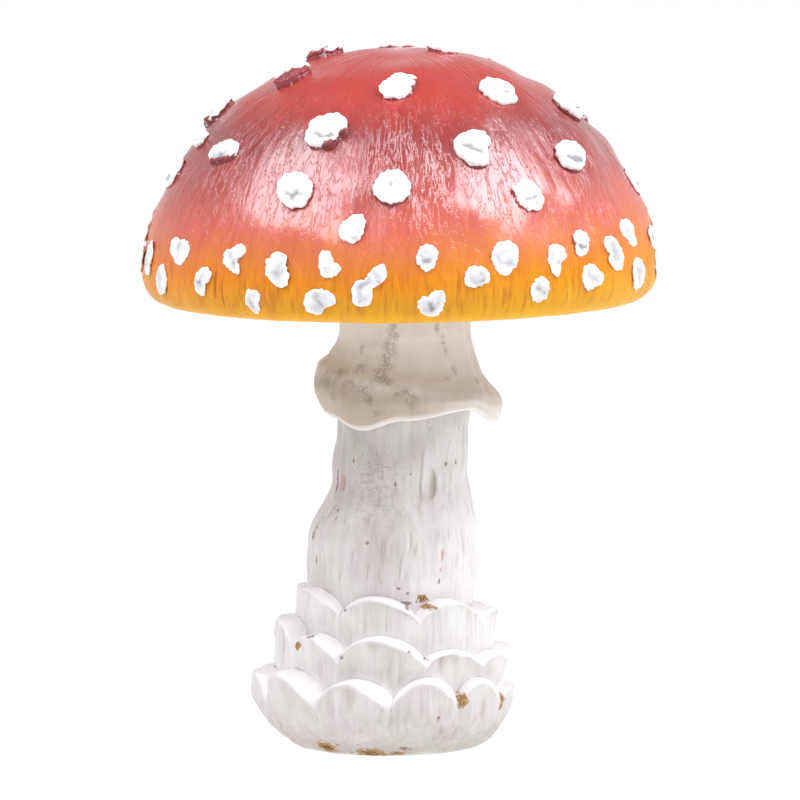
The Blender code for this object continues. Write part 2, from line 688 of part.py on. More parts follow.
def build_cap(material, parent):
    """The cap: dome, rolled rim, recess for the gills, socket and dowel bore."""
    turns = even_turns(CAP_SIDES)
    neck = stem_shift(NECK_TOP)
    rows = [[dome_spot(0, 0, 0)]]
    for share in CAP_RINGS:
        rows.append([dome_spot(turn, share, 0) for turn in turns])
    socket = TENON_RADIUS + GAP
    bore = DOWEL_RADIUS + GAP
    rows.append(cap_row(turns, RECESS_RADIUS + RIM_FILLET, RIM_HEIGHT + RIM_FILLET / 2))
    rows.append(cap_row(turns, RECESS_RADIUS, RIM_HEIGHT + RIM_FILLET * 2))
    rows.append(cap_row(turns, RECESS_RADIUS, RECESS_CEILING))
    rows.append(cap_row(turns, socket, RECESS_CEILING, neck))
    rows.append(cap_row(turns, socket, TENON_TOP + GAP, neck))
    rows.append(cap_row(turns, bore, TENON_TOP + GAP, neck))
    rows.append(cap_row(turns, bore, DOWEL_TOP + GAP, neck))
    cap = lofted("cap", rows, material, parent)
    union = cap.modifiers.new("back_warts", 'BOOLEAN')
    union.operation = 'UNION'
    union.solver = 'EXACT'
    union.object = back_warts(parent)
    return cap


def build_dowel(material, parent):
    """The steel dowel that pins the cap to the stem."""
    turns = even_turns(DOWEL_SIDES)
    shift = stem_shift(NECK_TOP)
    rows = [[spot(turn, DOWEL_RADIUS, height, shift) for turn in turns]
            for height in (DOWEL_BOTTOM, DOWEL_TOP)]
    return lofted("cap_dowel", rows, material, parent)


def build_toadstool():
    """All pieces, on one empty at the middle of the underside."""
    for item in list(bpy.data.objects):
        bpy.data.objects.remove(item, do_unlink=True)
    toadstool = bpy.data.objects.new("toadstool", None)
    bpy.context.scene.collection.objects.link(toadstool)
    build_foot(finish("foot_resin", "D9D6D2", 0.45), toadstool)
    build_middle_ring(finish("middle_scale_resin", "E4E2DE", 0.42), toadstool)
    build_top_ring(finish("top_scale_resin", "EBE9E6", 0.40), toadstool)
    build_stem(finish("stem_resin", "EFEDEA", 0.40), toadstool)
    build_skirt(finish("skirt_resin", "E6DCCB", 0.42), toadstool)
    build_gills(finish("gill_resin", "EADFC6", 0.50), toadstool)
    build_cap(finish("cap_paint", "D4573F", 0.22), toadstool)
    build_dowel(finish("dowel_steel", "8F9296", 0.35, 1.0), toadstool)
    build_warts(finish("wart_paint", "F4F2F0", 0.35), toadstool)


build_toadstool()
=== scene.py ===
"""Resin toadstool ornament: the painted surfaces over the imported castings.

Sizes are in millimetres, unless a name says otherwise. A turn is an angle in degrees round
the upright axis, 0 at the front and growing towards +X. A shift moves a ring along X,
because the stem leans and the tiers of scales were laid on by hand.
"""

import bpy
import numpy as np
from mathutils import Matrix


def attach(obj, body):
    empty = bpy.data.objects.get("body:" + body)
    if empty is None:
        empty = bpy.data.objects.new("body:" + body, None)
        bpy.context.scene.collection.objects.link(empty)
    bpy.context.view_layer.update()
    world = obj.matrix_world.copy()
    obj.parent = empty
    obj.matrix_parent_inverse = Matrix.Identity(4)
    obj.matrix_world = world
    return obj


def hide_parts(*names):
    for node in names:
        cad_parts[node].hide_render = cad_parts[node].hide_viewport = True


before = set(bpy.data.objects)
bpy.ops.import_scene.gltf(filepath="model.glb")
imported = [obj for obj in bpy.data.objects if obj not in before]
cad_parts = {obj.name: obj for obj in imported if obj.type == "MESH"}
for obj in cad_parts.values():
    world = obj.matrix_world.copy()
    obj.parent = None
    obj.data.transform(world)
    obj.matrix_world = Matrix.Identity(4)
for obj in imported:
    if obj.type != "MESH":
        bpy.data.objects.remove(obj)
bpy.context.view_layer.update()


# Bulb foot
# The lowest casting, a bowl of solid resin whose rim is the first tier of scales. It is
# brushed white over a grey wash, and the paint has chipped to ochre along its bottom edge.
MILLIMETRE = 0.001
CLEARANCE = 0.3
# How far the paint runs on from one casting to the next at a joint that shows
PAINTED_JOINT = 0.35
BASE_RADIUS = 21.4
BASE_ROUNDING = 1.7
BOWL_HEIGHT = 13.0
BOWL_FULLNESS = 1.15
FOOT_LEDGE = 10.7
FOOT_RECESS = 24.6
FOOT_WALL = 3.4
FOOT_SHIFT = -1.3
MIDDLE_SHIFT = -0.1
SOCKET_FLOOR = 5.0
BUTT_RADIUS = 15.0
BELLY_RADIUS = 18.1
# Scales of the tier: turn of the notch that each starts from, rise of its lip over the
# ledge, and how far across the scale the lip is highest
FOOT_SCALES = (
    (-97, 6.8, 0.5), (-63, 7.8, 0.28), (-32, 6.7, 0.48), (3, 7.0, 0.55), (36, 6.1, 0.42),
    (68, 3.6, 0.5), (100, 3.8, 0.55), (133, 4.6, 0.45), (165, 5.2, 0.52), (198, 5.4, 0.48),
    (230, 5.6, 0.5),
)
FOOT_NOTCH = 0.36
FOOT_BEVEL = 0.8
FOOT_NOTCH_BEVEL = 3.5
SCALE_ARCH = 0.6
# How much broader the lip is on the flank beyond the crest, as a share
LIP_LEAN = 0.45
SCALE_PINCH = 0.8
FACE_ROWS = 44
SHOULDER_ROWS = 11
ROW_SPACING = 1.2
TIER_COLUMNS = 576
# Worn chips: turn, height, width and length
FOOT_CHIPS = (
    (38, 12.4, 3.6, 3.6), (69, 10.6, 2.4, 4.2), (-37, 1.9, 7.2, 3.2), (-10, 0.9, 12.5, 2.6),
    (6, 0.9, 5.0, 1.2), (118, 1.2, 7.0, 2.2), (164, 14.2, 3.0, 1.6), (-128, 1.0, 6.0, 1.8),
    (-150, 11.0, 1.6, 2.6), (195, 0.8, 8.0, 1.6), (84, 3.0, 1.4, 1.8),
)
FOOT_SPECKS = (
    (25, 9.0, 0.9, 1.4), (10, 2.1, 4.4, 1.2), (-47, 1.4, 1.8, 1.0), (-28, 2.6, 1.6, 0.9),
    (-16, 3.0, 1.2, 0.6), (140, 8.0, 1.0, 1.4), (-110, 6.0, 0.8, 1.6), (214, 9.0, 1.0, 1.0),
)


def ease(low, high, value):
    """0 below low, 1 above high, and a smooth step between them."""
    share = np.clip((value - low) / (high - low), 0, 1)
    return share * share * (3 - 2 * share)


def plateau(start, full, still, end, value):
    """0 up to the start, 1 from full to still, and 0 beyond the end, with smooth steps."""
    return ease(start, full, value) * (1 - ease(still, end, value))


def blend(first, last, share):
    """A share of the way from the first value to the last."""
    return first + (last - first) * share


def off_turn(turn, middle):
    """How far a turn lies from a middle one, the short way round, in degrees."""
    return (turn - middle + 180) % 360 - 180


def hill(off, width):
    """A bell curve of the distance from its middle: 1 there and 0.37 at its width."""
    return np.exp(-(off / width) ** 2)


def even_turns(count):
    """Turns that are spaced evenly round the axis."""
    return np.arange(count) * 360 / count


def around(turn, radius, height, shift=0.0):
    """Points at turns and radii about an upright axis that is moved along X."""
    angle = np.radians(turn)
    sides = (shift + radius * np.sin(angle), -radius * np.cos(angle), height + 0 * angle)
    return np.stack(np.broadcast_arrays(*sides), axis=-1)


def rings(turn, *sizes):
    """A list of rings, each from its radius, height and shift."""
    return [around(turn, *size) for size in sizes]


def grain(places, size, seed):
    """Smooth hand-made unevenness at places, mostly between -1 and 1.

    It is a sum of cosine waves that run in random directions, with lengths near size.
    """
    chance = np.random.default_rng(seed)
    waves = 18
    total = np.zeros(places.shape[:-1])
    for _ in range(waves):
        heading = chance.normal(size=3)
        heading /= np.linalg.norm(heading)
        length = size * chance.uniform(0.7, 1.6)
        total += np.cos(places @ heading * (2 * np.pi / length) + chance.uniform(0, 2 * np.pi))
    return total / np.sqrt(waves)


def drawn_out(places, stretch):
    """The places with their heights pressed together, so that a grain runs upright."""
    return places * (1, 1, 1 / stretch)


def looked_up(start, turn):
    """The entry of a table by turns that each turn falls in, and how far along it lies."""
    way = (turn[:, None] - start) % 360 / ((np.roll(start, -1) - start) % 360)
    index = np.argmax(way < 1, axis=1)
    return index, way[np.arange(len(turn)), index]


def scale_lip(scales, ledge, notch):
    """Height of a tier's lip at each turn, the swell of its scale and the lean of its flank.

    The swell is a quarter sine of the way from the notch to the crest, raised to a power
    that fills the arch: 0 in the notch, 1 at the crest. The lean is half a sine of the
    same way, above 0 beyond the crest and below 0 before it.
    """
    start, crest, peak = np.array(scales, dtype=float).T
    index, share = looked_up(start, turns)
    rising = share < peak[index]
    beside = np.where(rising, index - 1, (index + 1) % len(start))
    low = notch * (crest[index] + crest[beside]) / 2
    climb = np.where(rising, share / peak[index], (1 - share) / (1 - peak[index]))
    swell = np.sin(np.pi / 2 * climb) ** SCALE_ARCH
    lean = np.sin(np.pi * climb) * np.where(rising, -1, 1)
    return ledge + blend(low, crest[index], swell), swell, lean


def rounded_lip(edge, rise, front, back, start, end):
    """Rows of a lip, a quarter of an ellipse from a face's edge in to the back of the scales.

    It goes from the front radius to the back one, and from one shift to another.
    """
    quarter = np.linspace(0, np.pi / 2, SHOULDER_ROWS)[1:, None]
    return around(turns, blend(back, front, np.cos(quarter) ** 1.5),
                  edge + rise * np.sin(quarter) ** 1.3, blend(start, end, np.sin(quarter)))


def between(rows, spacing, passes, joined=False):
    """Rows of points filled in between given rows, with the corners rounded.

    Each stretch between two given rows is cut into equal steps near the spacing. Each pass
    then moves every row halfway to the mean of its two neighbours. Also returned is the
    station of each row: the number of the given row that it follows, and its share beyond.
    """
    after = rows[1:] + rows[:1] if joined else rows[1:]
    filled = []
    station = []
    for number, (here, there) in enumerate(zip(rows, after)):
        steps = max(1, round(np.linalg.norm(there - here, axis=-1).mean() / spacing))
        share = np.arange(steps) / steps
        filled.append(blend(here, there, share[:, None, None]))
        station.append(number + share)
    if not joined:
        filled.append(rows[-1][None])
        station.append([len(rows) - 1])
    grid = np.concatenate(filled)
    for _ in range(passes):
        if joined:
            grid = grid / 2 + (np.roll(grid, 1, axis=0) + np.roll(grid, -1, axis=0)) / 4
        else:
            grid[1:-1] = grid[1:-1] / 2 + (grid[:-2] + grid[2:]) / 4
    return grid, np.concatenate(station)[:, None]


def swollen(grid, relief, shift):
    """The grid with every point moved away from the upright axis by its relief."""
    out = grid[..., :2] - np.stack(np.broadcast_arrays(shift, 0.0), axis=-1)
    out /= np.linalg.norm(out, axis=-1, keepdims=True) + 1e-6
    moved = grid.copy()
    moved[..., :2] += out * relief[..., None]
    return moved


def casting(name, grids, joined=False, **fields):
    """A closed mesh through grids of points, rows by turns, with a value for each field.

    Every row meets itself. The first and last rows of a grid are closed by a fan to their
    middle, or where it is joined they meet each other. The volume tells which way the faces
    look: the sum of the scalar triple products of each face's corners is above 0 when they
    look outwards.
    """
    grids = grids if isinstance(grids, list) else [grids]
    places = []
    faces = []
    fans = []
    first = 0
    for grid in grids:
        rows, turns, _ = grid.shape
        row = np.arange(rows if joined else rows - 1)[:, None]
        turn = np.arange(turns)
        beside = (turn + 1) % turns
        above = (row + 1) % rows * turns
        square = np.stack(np.broadcast_arrays(
            row * turns + turn, row * turns + beside, above + beside, above + turn), axis=-1)
        faces.append(square.reshape(-1, 4) + first)
        places.append(grid.reshape(-1, 3))
        if not joined:
            middle = rows * turns
            last = (rows - 1) * turns
            fans.append(np.stack((beside, turn, 0 * turn + middle), axis=-1) + first)
            fans.append(np.stack((last + turn, last + beside, 0 * turn + middle + 1), axis=-1)
                        + first)
            places.append(grid[[0, -1]].mean(axis=1))
        first += rows * turns + (0 if joined else 2)
    place = np.concatenate(places) * MILLIMETRE
    square = np.concatenate(faces)
    fan = np.concatenate(fans) if fans else np.empty((0, 3), dtype=int)
    corner = place[square]
    volume = np.einsum("ij,ij->", corner[:, 0], np.cross(corner[:, 1], corner[:, 2]))
    volume += np.einsum("ij,ij->", corner[:, 0], np.cross(corner[:, 2], corner[:, 3]))
    if volume < 0:
        square = square[:, ::-1]
        fan = fan[:, ::-1]
    mesh = bpy.data.meshes.new(name)
    mesh.vertices.add(len(place))
    mesh.vertices.foreach_set("co", place.ravel())
    mesh.loops.add(square.size + fan.size)
    mesh.loops.foreach_set("vertex_index", np.concatenate((square.ravel(), fan.ravel())))
    mesh.polygons.add(len(square) + len(fan))
    starts = np.concatenate((np.arange(len(square)) * 4, square.size + np.arange(len(fan)) * 3))
    mesh.polygons.foreach_set("loop_start", starts)
    mesh.update(calc_edges=True)
    mesh.validate()
    mesh.shade_smooth()
    for label, values in fields.items():
        values = values if isinstance(values, list) else [values]
        whole = []
        for grid, value in zip(grids, values):
            wide = value.ndim - grid.ndim + 1
            value = np.broadcast_to(value, grid.shape[:2] + value.shape[2:])
            whole.append(value.reshape((-1,) + value.shape[2:]))
            if not joined:
                whole.append(value[[0, -1]].mean(axis=1))
        kind = "FLOAT_VECTOR" if wide else "FLOAT"
        layer = mesh.attributes.new(label, kind, "POINT")
        layer.data.foreach_set("vector" if wide else "value", np.concatenate(whole).ravel())
    piece = bpy.data.objects.new(name, mesh)
    bpy.context.scene.collection.objects.link(piece)
    return piece


def dabs(turn, height, radius, marks):
    """How deep inside a mark each place lies: 1 at its middle, 0 at its edge, then below 0.

    A mark is an ellipse of a turn, a height, a width round the piece and a length up it.
    """
    depth = np.full(np.broadcast(turn, height).shape, -1.0)
    for middle, level, width, length in marks:
        aside = np.radians(off_turn(turn, middle)) * radius * 2 / width
        above = (height - level) * 2 / length
        depth = np.maximum(depth, 1 - np.hypot(aside, above))
    return depth


def colour(code):
    """Linear colour of an sRGB hex code."""
    channel = np.array([int(code[place:place + 2], 16) / 255 for place in (1, 3, 5)])
    bright = ((channel + 0.055) / 1.055) ** 2.4
    return (*np.where(channel <= 0.04045, channel / 12.92, bright), 1.0)


def connect(made, sockets):
    """Sets or links a node's sockets: a value may be a node's output or an sRGB hex code."""
    for name, value in sockets.items():
        if isinstance(value, bpy.types.NodeSocket):
            made.id_data.links.new(value, made.inputs[name])
        else:
            made.inputs[name].default_value = colour(value) if isinstance(value, str) else value


def node(tree, kind, sockets, stops=(), **settings):
    """Adds a node with its sockets, settings and colour stops; returns its first output."""
    made = tree.nodes.new(kind)
    for name, value in settings.items():
        setattr(made, name, value)
    for number, (place, code) in enumerate(stops):
        elements = made.color_ramp.elements
        stop = elements[number] if number < 2 else elements.new(place)
        stop.position = place
        stop.color = colour(code)
    connect(made, sockets)
    return [output for output in made.outputs if output.enabled][0]


def blank(name):
    """A new material that holds a principled shader, and that shader."""
    material = bpy.data.materials.new(name)
    material.use_nodes = True
    return material, material.node_tree.nodes["Principled BSDF"]


def points(material):
    """The places on the piece, in metres."""
    return node(material.node_tree, "ShaderNodeTexCoord", {}).node.outputs["Object"]


def field(material, name, output="Fac"):
    """The field of this name on the mesh."""
    made = node(material.node_tree, "ShaderNodeAttribute", {}, attribute_name=name)
    return made.node.outputs[output]


def stretched(places, scale):
    """The places times a scale along each axis. Each node joins the tree of its first input."""
    return node(places.id_data, "ShaderNodeMapping", {"Vector": places, "Scale": scale})


def noise(places, size, detail=2, rough=0.5, distortion=0):
    """A noise whose features are about this many millimetres across."""
    return node(places.id_data, "ShaderNodeTexNoise",
                {"Vector": places, "Scale": 1 / (size * MILLIMETRE), "Detail": detail,
                 "Roughness": rough, "Distortion": distortion})


def spread(value, low=0, high=1, to_low=0, to_high=1):
    """The value's range from low to high laid over another range, and held at its ends."""
    return node(value.id_data, "ShaderNodeMapRange",
                {"Value": value, "From Min": low, "From Max": high, "To Min": to_low,
                 "To Max": to_high})


def math(operation, *values, **settings):
    """One of Blender's sums on up to three values."""
    return node(values[0].id_data, "ShaderNodeMath", dict(enumerate(values)),
                operation=operation, **settings)


def mixed(share, below, above):
    """The colour below under a share of the colour above."""
    return node(share.id_data, "ShaderNodeMix", {0: share, 6: below, 7: above}, data_type="RGBA")


def tinted(paint, **changes):
    """The paint with its hue, saturation or value changed."""
    return node(paint.id_data, "ShaderNodeHueSaturation", {"Color": paint, **changes})


def ramp(value, *stops):
    """The value as a colour between the stops."""
    return node(value.id_data, "ShaderNodeValToRGB", {"Fac": value}, stops)


def bump(height, strength, depth):
    """Fine relief from a height, its depth in millimetres."""
    return node(height.id_data, "ShaderNodeBump",
                {"Height": height, "Strength": strength, "Distance": depth * MILLIMETRE})


def brushed_white(name, light, wash, streak, roughness, contrast=1.0):
    """White paint brushed over a wash on cast resin, with chips down to the ochre ground.

    Upright brush lines are noises that are drawn out twelve times along the height, one as
    wide as a bristle's mark and one as wide as a tuft. The wash stays in the hollows and
    between the lines, turns a little yellower in patches, and fine cracks hold more of it.
    The hollow field mixes the same grey in as painted shade as well, and the lip field
    whitens with dry-brushed white and with painted light.
    Chips and specks follow their fields on the mesh, and a finer noise breaks their edges up.
    The contrast is the strength of the brush lines' colour and relief.
    """
    material, shader = blank(name)
    place = points(material)
    upright = stretched(place, (1, 1, 1 / 12))
    lines = noise(upright, streak * 1.6, 4, 0.65)
    bands = noise(upright, streak * 8)
    crack = noise(upright, streak * 3.2, 3, 0.7)
    clouds = noise(place, 10, 5, 0.6)
    specks = noise(place, 1.1, 4, 0.65)
    hollow = field(material, "hollow")
    lip = field(material, "lip")
    chips = field(material, "chips")
    dark = field(material, "specks")

    lined = spread(lines, 0.38, 0.68, 0, 0.24 * contrast)
    banded = spread(bands, 0.36, 0.68, 0, 0.2 * contrast)
    clouded = spread(clouds, 0.36, 0.68, 0, 0.3)
    tone_wash_and_shade = math("ADD", math("ADD", lined, banded), clouded)
    # The hollow field adds wash in the hollows and painted shade where the piece lies in shade
    tone_wash_and_shade = math("ADD", tone_wash_and_shade, hollow, use_clamp=True)
    paint = mixed(tone_wash_and_shade, light, wash)
    turned = spread(noise(place, 7, 3), 0.4, 0.6, 0.47, 0.56)
    paint = tinted(paint, Hue=turned)
    crack = spread(crack, 0.6, 0.7, 0, 0.3)
    # The lip field whitens with dry-brushed white on the lips, and with painted light in the tiers'
    # joints and on the stem's ridges
    paint = mixed(lip, mixed(crack, paint, "#A99C98"), "#EAE7E8")

    broken = math("MULTIPLY", math("ADD", specks, -0.5), 2.6)
    worn = spread(math("ADD", broken, chips), 0.15, 0.32)
    ground = ramp(specks, (0.34, "#5E4A30"), (0.72, "#D8BE98"), (0.5, "#A47C48"))
    paint = mixed(worn, paint, ground)
    speckled = spread(math("ADD", broken, dark), 0.2, 0.45, 0, 0.8)
    paint = mixed(speckled, paint, "#86695C")

    rough = math("MAXIMUM", spread(lines, 0, 1, roughness - 0.08, roughness + 0.12), worn)
    height = math("MULTIPLY_ADD", crack, -0.7, math("ADD", math("MULTIPLY", worn, -0.6), lines))
    height = math("MULTIPLY_ADD", specks, 0.3, height)
    relief = bump(height, 0.55, 0.2 * contrast)
    connect(shader, {"Base Color": paint, "Roughness": rough, "Normal": relief})
    return material


def dressed(piece, material, slot, *nodes):
    """Gives a piece its material and body, and hides the castings that it stands for. Its slot is not
    used.
    """
    piece.data.materials.append(material)
    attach(piece, "root")
    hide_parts(*nodes)


foot_white = brushed_white("brushed_white_foot", "#E4DFDE", "#C4B9B5", 0.5, 0.42)

turns = even_turns(TIER_COLUMNS)
foot_lip, foot_swell, foot_lean = scale_lip(FOOT_SCALES, FOOT_LEDGE, FOOT_NOTCH)
bevel = blend(FOOT_NOTCH_BEVEL, FOOT_BEVEL, foot_swell) * (1 + LIP_LEAN * foot_lean)
edge = foot_lip - bevel
share = np.linspace(0, 1, FACE_ROWS)[1:, None]
fall = np.clip(share * edge / BOWL_HEIGHT, 0, 1)
foot_radius = FOOT_RECESS + FOOT_WALL
bowl = blend(BASE_RADIUS, foot_radius, (1 - (1 - fall) ** 2) ** BOWL_FULLNESS)
bowl -= SCALE_PINCH * (1 - foot_swell) * share
# The face is drawn in a little under the lip, so that each scale stands off as a flap
bowl -= 0.18 * foot_swell * plateau(0.55, 0.85, 0.9, 1.0, share)
bowl -= BASE_ROUNDING * (1 - ease(0, 3 * BASE_ROUNDING, share * edge))
face = around(turns, bowl, share * edge, FOOT_SHIFT * share)
shoulder = rounded_lip(edge, bevel, foot_radius - SCALE_PINCH * (1 - foot_swell),
                       FOOT_RECESS - CLEARANCE - PAINTED_JOINT, FOOT_SHIFT, MIDDLE_SHIFT)
given = rings(turns, (BASE_RADIUS * 0.1, 0.0), (BASE_RADIUS - 1.6 * BASE_ROUNDING, 0.0))
given += [*face, *shoulder]
given += rings(turns, (FOOT_RECESS, foot_lip - 1.0, MIDDLE_SHIFT),
               (FOOT_RECESS, FOOT_LEDGE, MIDDLE_SHIFT), (BUTT_RADIUS + CLEARANCE, FOOT_LEDGE),
               (BUTT_RADIUS + CLEARANCE, SOCKET_FLOOR), (BUTT_RADIUS * 0.1, SOCKET_FLOOR))
grid, station = between(given, ROW_SPACING, 2)
face_end = 1 + len(face)
shoulder_end = face_end + len(shoulder)
on_face = plateau(1.0, 5.0, face_end - 1, face_end + 2, station)
on_lip = plateau(face_end - 3, face_end, shoulder_end, shoulder_end + 1, station)
brushing = grain(drawn_out(grid, 9), 1.7, 11)
planes = grain(grid, 9, 12)
relief = on_face * (0.07 * brushing + 0.26 * planes)
relief = relief + on_lip * (0.24 * grain(grid, 4.0, 13) + 0.08 * grain(grid, 1.7, 14))
height = grid[..., 2]
turn_here = turns[None, :]
foot = casting(
    "bulb_foot_painted", swollen(grid, relief, FOOT_SHIFT / 2),
    # Hollow: wash led by the brush grain, painted shade that darkens the bowl towards its bottom, and
    # painted shade at the backs of the lips
    hollow=np.clip(0.22 * on_face * (0.6 - brushing) * (0.5 - 0.5 * planes)
                   + 0.75 * (1 - ease(0, 8, height)) * on_face
                   + 0.1 * ease(shoulder_end - 4, shoulder_end, station), 0, 1),
    lip=0.85 * on_lip * (1 - ease(face_end, shoulder_end, station) * 0.35),
    chips=dabs(turn_here, height, foot_radius, FOOT_CHIPS),
    specks=dabs(turn_here, height, foot_radius, FOOT_SPECKS),
)
dressed(foot, foot_white, "scale_resin", "bulb_foot")


# Middle tier of scales
# A cast ring that stands in the foot's recess, round the stem. Its scales flare a little
# over the foot's lip, and the same white paint covers ring and foot in one go.
MIDDLE_SCALES = (
    (-90, 10.0, 0.5), (-58, 7.6, 0.42), (-28, 7.8, 0.42), (17, 4.5, 0.5), (51, 3.1, 0.45),
    (85, 3.4, 0.5), (121, 4.4, 0.55), (160, 5.8, 0.48), (196, 7.4, 0.5), (233, 9.0, 0.52),
)
MIDDLE_NOTCH = 0.45
MIDDLE_BOTTOM = 11.0
MIDDLE_LEDGE = 18.5
MIDDLE_SEAT = 24.3
MIDDLE_FLARE = 1.2
MIDDLE_LIP_SHIFT = 0.8
MIDDLE_RECESS = 21.3
TOP_SHIFT = 1.3
RING_BEVEL = 0.7
RING_NOTCH_BEVEL = 2.0
RING_ROWS = 34
# How far a face starts below the lip before it, and how high it stands at the least
FACE_START = 0.9
LEAST_FACE = 1.2
MIDDLE_CHIPS = (
    (-53, 23.4, 2.8, 2.6), (-87, 23.8, 1.8, 1.8), (104, 20.0, 2.2, 1.4), (178, 22.4, 3.0, 1.4),
    (-140, 24.6, 1.8, 2.0),
)
MIDDLE_SPECKS = (
    (-25, 21.8, 1.2, 1.3), (17, 21.4, 1.2, 1.2), (-45, 25.5, 2.0, 0.9), (8, 23.4, 0.8, 1.0),
    (88, 19.0, 1.2, 1.0), (150, 19.4, 1.0, 1.6),
)


def tier(name, casting_name, rim, lip_below, sizes, rows_behind, chips, specks, material, seed):
    """A ring of scales: a seat, a brushed face that flares to its edge, a rounded lip.

    The face rises from the lip of the tier below to the edge, and the lip is a quarter of
    an ellipse from the edge to the back, as on the foot.
    """
    lip, swell, lean = rim
    seat, bottom, flare, shift, lip_shift, back = sizes
    bevel = blend(RING_NOTCH_BEVEL, RING_BEVEL, swell) * (1 + LIP_LEAN * lean)
    start = lip_below - FACE_START
    edge = np.maximum(lip - bevel, start + LEAST_FACE)
    share = np.linspace(0, 1, RING_ROWS)[:, None]
    radius = seat + (flare - SCALE_PINCH * (1 - swell)) * share ** 1.4
    radius = radius - 0.15 * swell * plateau(0.5, 0.8, 0.88, 1.0, share)
    face = around(turns, radius, blend(start, edge, share), blend(shift, lip_shift, share))
    shoulder = rounded_lip(edge, lip - edge, seat + flare - SCALE_PINCH * (1 - swell), back,
                           lip_shift, TOP_SHIFT)
    given = [around(turns, seat, bottom, shift), *face, *shoulder, *rows_behind]
    grid, station = between(given, ROW_SPACING, 2, joined=True)
    face_end = len(face)
    lip_end = face_end + len(shoulder)
    on_face = plateau(1.0, 5.0, face_end - 1, face_end + 2, station)
    on_lip = plateau(face_end - 3, face_end, lip_end, lip_end + 1, station)
    brushing = grain(drawn_out(grid, 9), 1.6, seed)
    planes = grain(grid, 8, seed + 1)
    relief = on_face * (0.07 * brushing + 0.22 * planes)
    relief += on_lip * (0.22 * grain(grid, 3.8, seed + 2) + 0.08 * grain(grid, 1.6, seed + 3))
    height = grid[..., 2]
    # The face is painted darker in front, left of the middle
    darker_in_front = hill(off_turn(turns, -12), 20)
    # The joint with the tier below is painted whiter: white paint filling it, and painted light that
    # takes out its shade
    filled = hill(height - lip_below, 1.1) * on_face
    piece = casting(
        name, swollen(grid, relief, shift), joined=True,
        # Hollow: wash led by the brush grain, the darker front, and painted shade at the back of the
        # lip
        hollow=np.clip(on_face * (0.22 * (0.6 - brushing) * (0.5 - 0.5 * planes) + 0.35 * darker_in_front)
                       + 0.1 * ease(lip_end - 4, lip_end, station), 0, 1),
        lip=np.maximum(on_lip * (1 - 0.35 * ease(face_end, lip_end, station)) * 0.85,
                       0.7 * filled),
        chips=dabs(turns[None, :], height, seat, chips),
        specks=dabs(turns[None, :], height, seat, specks),
    )
    dressed(piece, material, "scale_resin", casting_name)


middle_white = brushed_white("brushed_white_middle_tier", "#EAE6E5", "#CAC0BC", 0.48, 0.42)
middle_rim = scale_lip(MIDDLE_SCALES, MIDDLE_LEDGE, MIDDLE_NOTCH)
middle_lip = middle_rim[0]
tier("scale_ring_middle_painted", "scale_ring_middle", middle_rim, foot_lip,
     (MIDDLE_SEAT, MIDDLE_BOTTOM, MIDDLE_FLARE, MIDDLE_SHIFT, MIDDLE_LIP_SHIFT,
      MIDDLE_RECESS - CLEARANCE - PAINTED_JOINT),
     rings(turns, (MIDDLE_RECESS, middle_lip - 0.8, TOP_SHIFT),
           (MIDDLE_RECESS, MIDDLE_LEDGE, TOP_SHIFT), (BELLY_RADIUS, MIDDLE_LEDGE),
           (BELLY_RADIUS, MIDDLE_BOTTOM)),
     MIDDLE_CHIPS, MIDDLE_SPECKS, middle_white, 21)


# Top tier of scales
# The last cast ring, close round the belly of the stem and seated in the middle tier. Its
# scales are the broadest, and two of them have lost paint beside the stem.
TOP_SCALES = (
    (-82, 16.8, 0.45), (-35, 15.9, 0.46), (14, 15.0, 0.45), (60, 12.2, 0.45), (107, 11.4, 0.5),
    (151, 12.5, 0.52), (194, 14.2, 0.5), (236, 16.0, 0.5),
)
TOP_NOTCH = 0.75
TOP_BOTTOM = 18.8
TOP_SEAT = 21.0
TOP_FLARE = 0.8
TOP_LIP_SHIFT = 1.9
TOP_CHIPS = (
    (20, 32.2, 3.2, 1.6), (126, 30.2, 2.6, 1.4), (-160, 31.8, 1.8, 2.0),
)
TOP_SPECKS = (
    (-32, 31.4, 2.2, 0.9), (60, 29.0, 1.0, 1.4), (-120, 30.0, 1.4, 0.8), (8, 32.0, 2.0, 1.0),
)
STEM_SHIFT = -0.9
STEM_LEAN = 4.5
LEAN_TOP = 88.0
BELLY_BOTTOM = 35.0
BELLY_TOP = 44.0
WAIST_HEIGHT = 58.0
WAIST_RADIUS = 14.2
SHOULDER_HEIGHT = 75.5
SHOULDER_RADIUS = 13.9


def stem_shift(height):
    """Where the stem's middle lies along X: it leans over by a squared quarter sine."""
    share = np.minimum(height / LEAN_TOP, 1.0)
    return STEM_SHIFT + STEM_LEAN * np.sin(np.pi / 2 * share) ** 2


def stem_radius(height):
    """Radius of the stem: growing butt, belly, smooth taper to the waist, even upper part."""
    butt = (height - SOCKET_FLOOR) / (BELLY_BOTTOM - SOCKET_FLOOR)
    low = blend(BUTT_RADIUS, BELLY_RADIUS, np.clip(butt, 0, 1))
    taper = (WAIST_RADIUS - BELLY_RADIUS) * ease(BELLY_TOP, WAIST_HEIGHT, height)
    upper = np.clip((height - WAIST_HEIGHT) / (SHOULDER_HEIGHT - WAIST_HEIGHT), 0, 1)
    return low + taper + (SHOULDER_RADIUS - WAIST_RADIUS) * upper


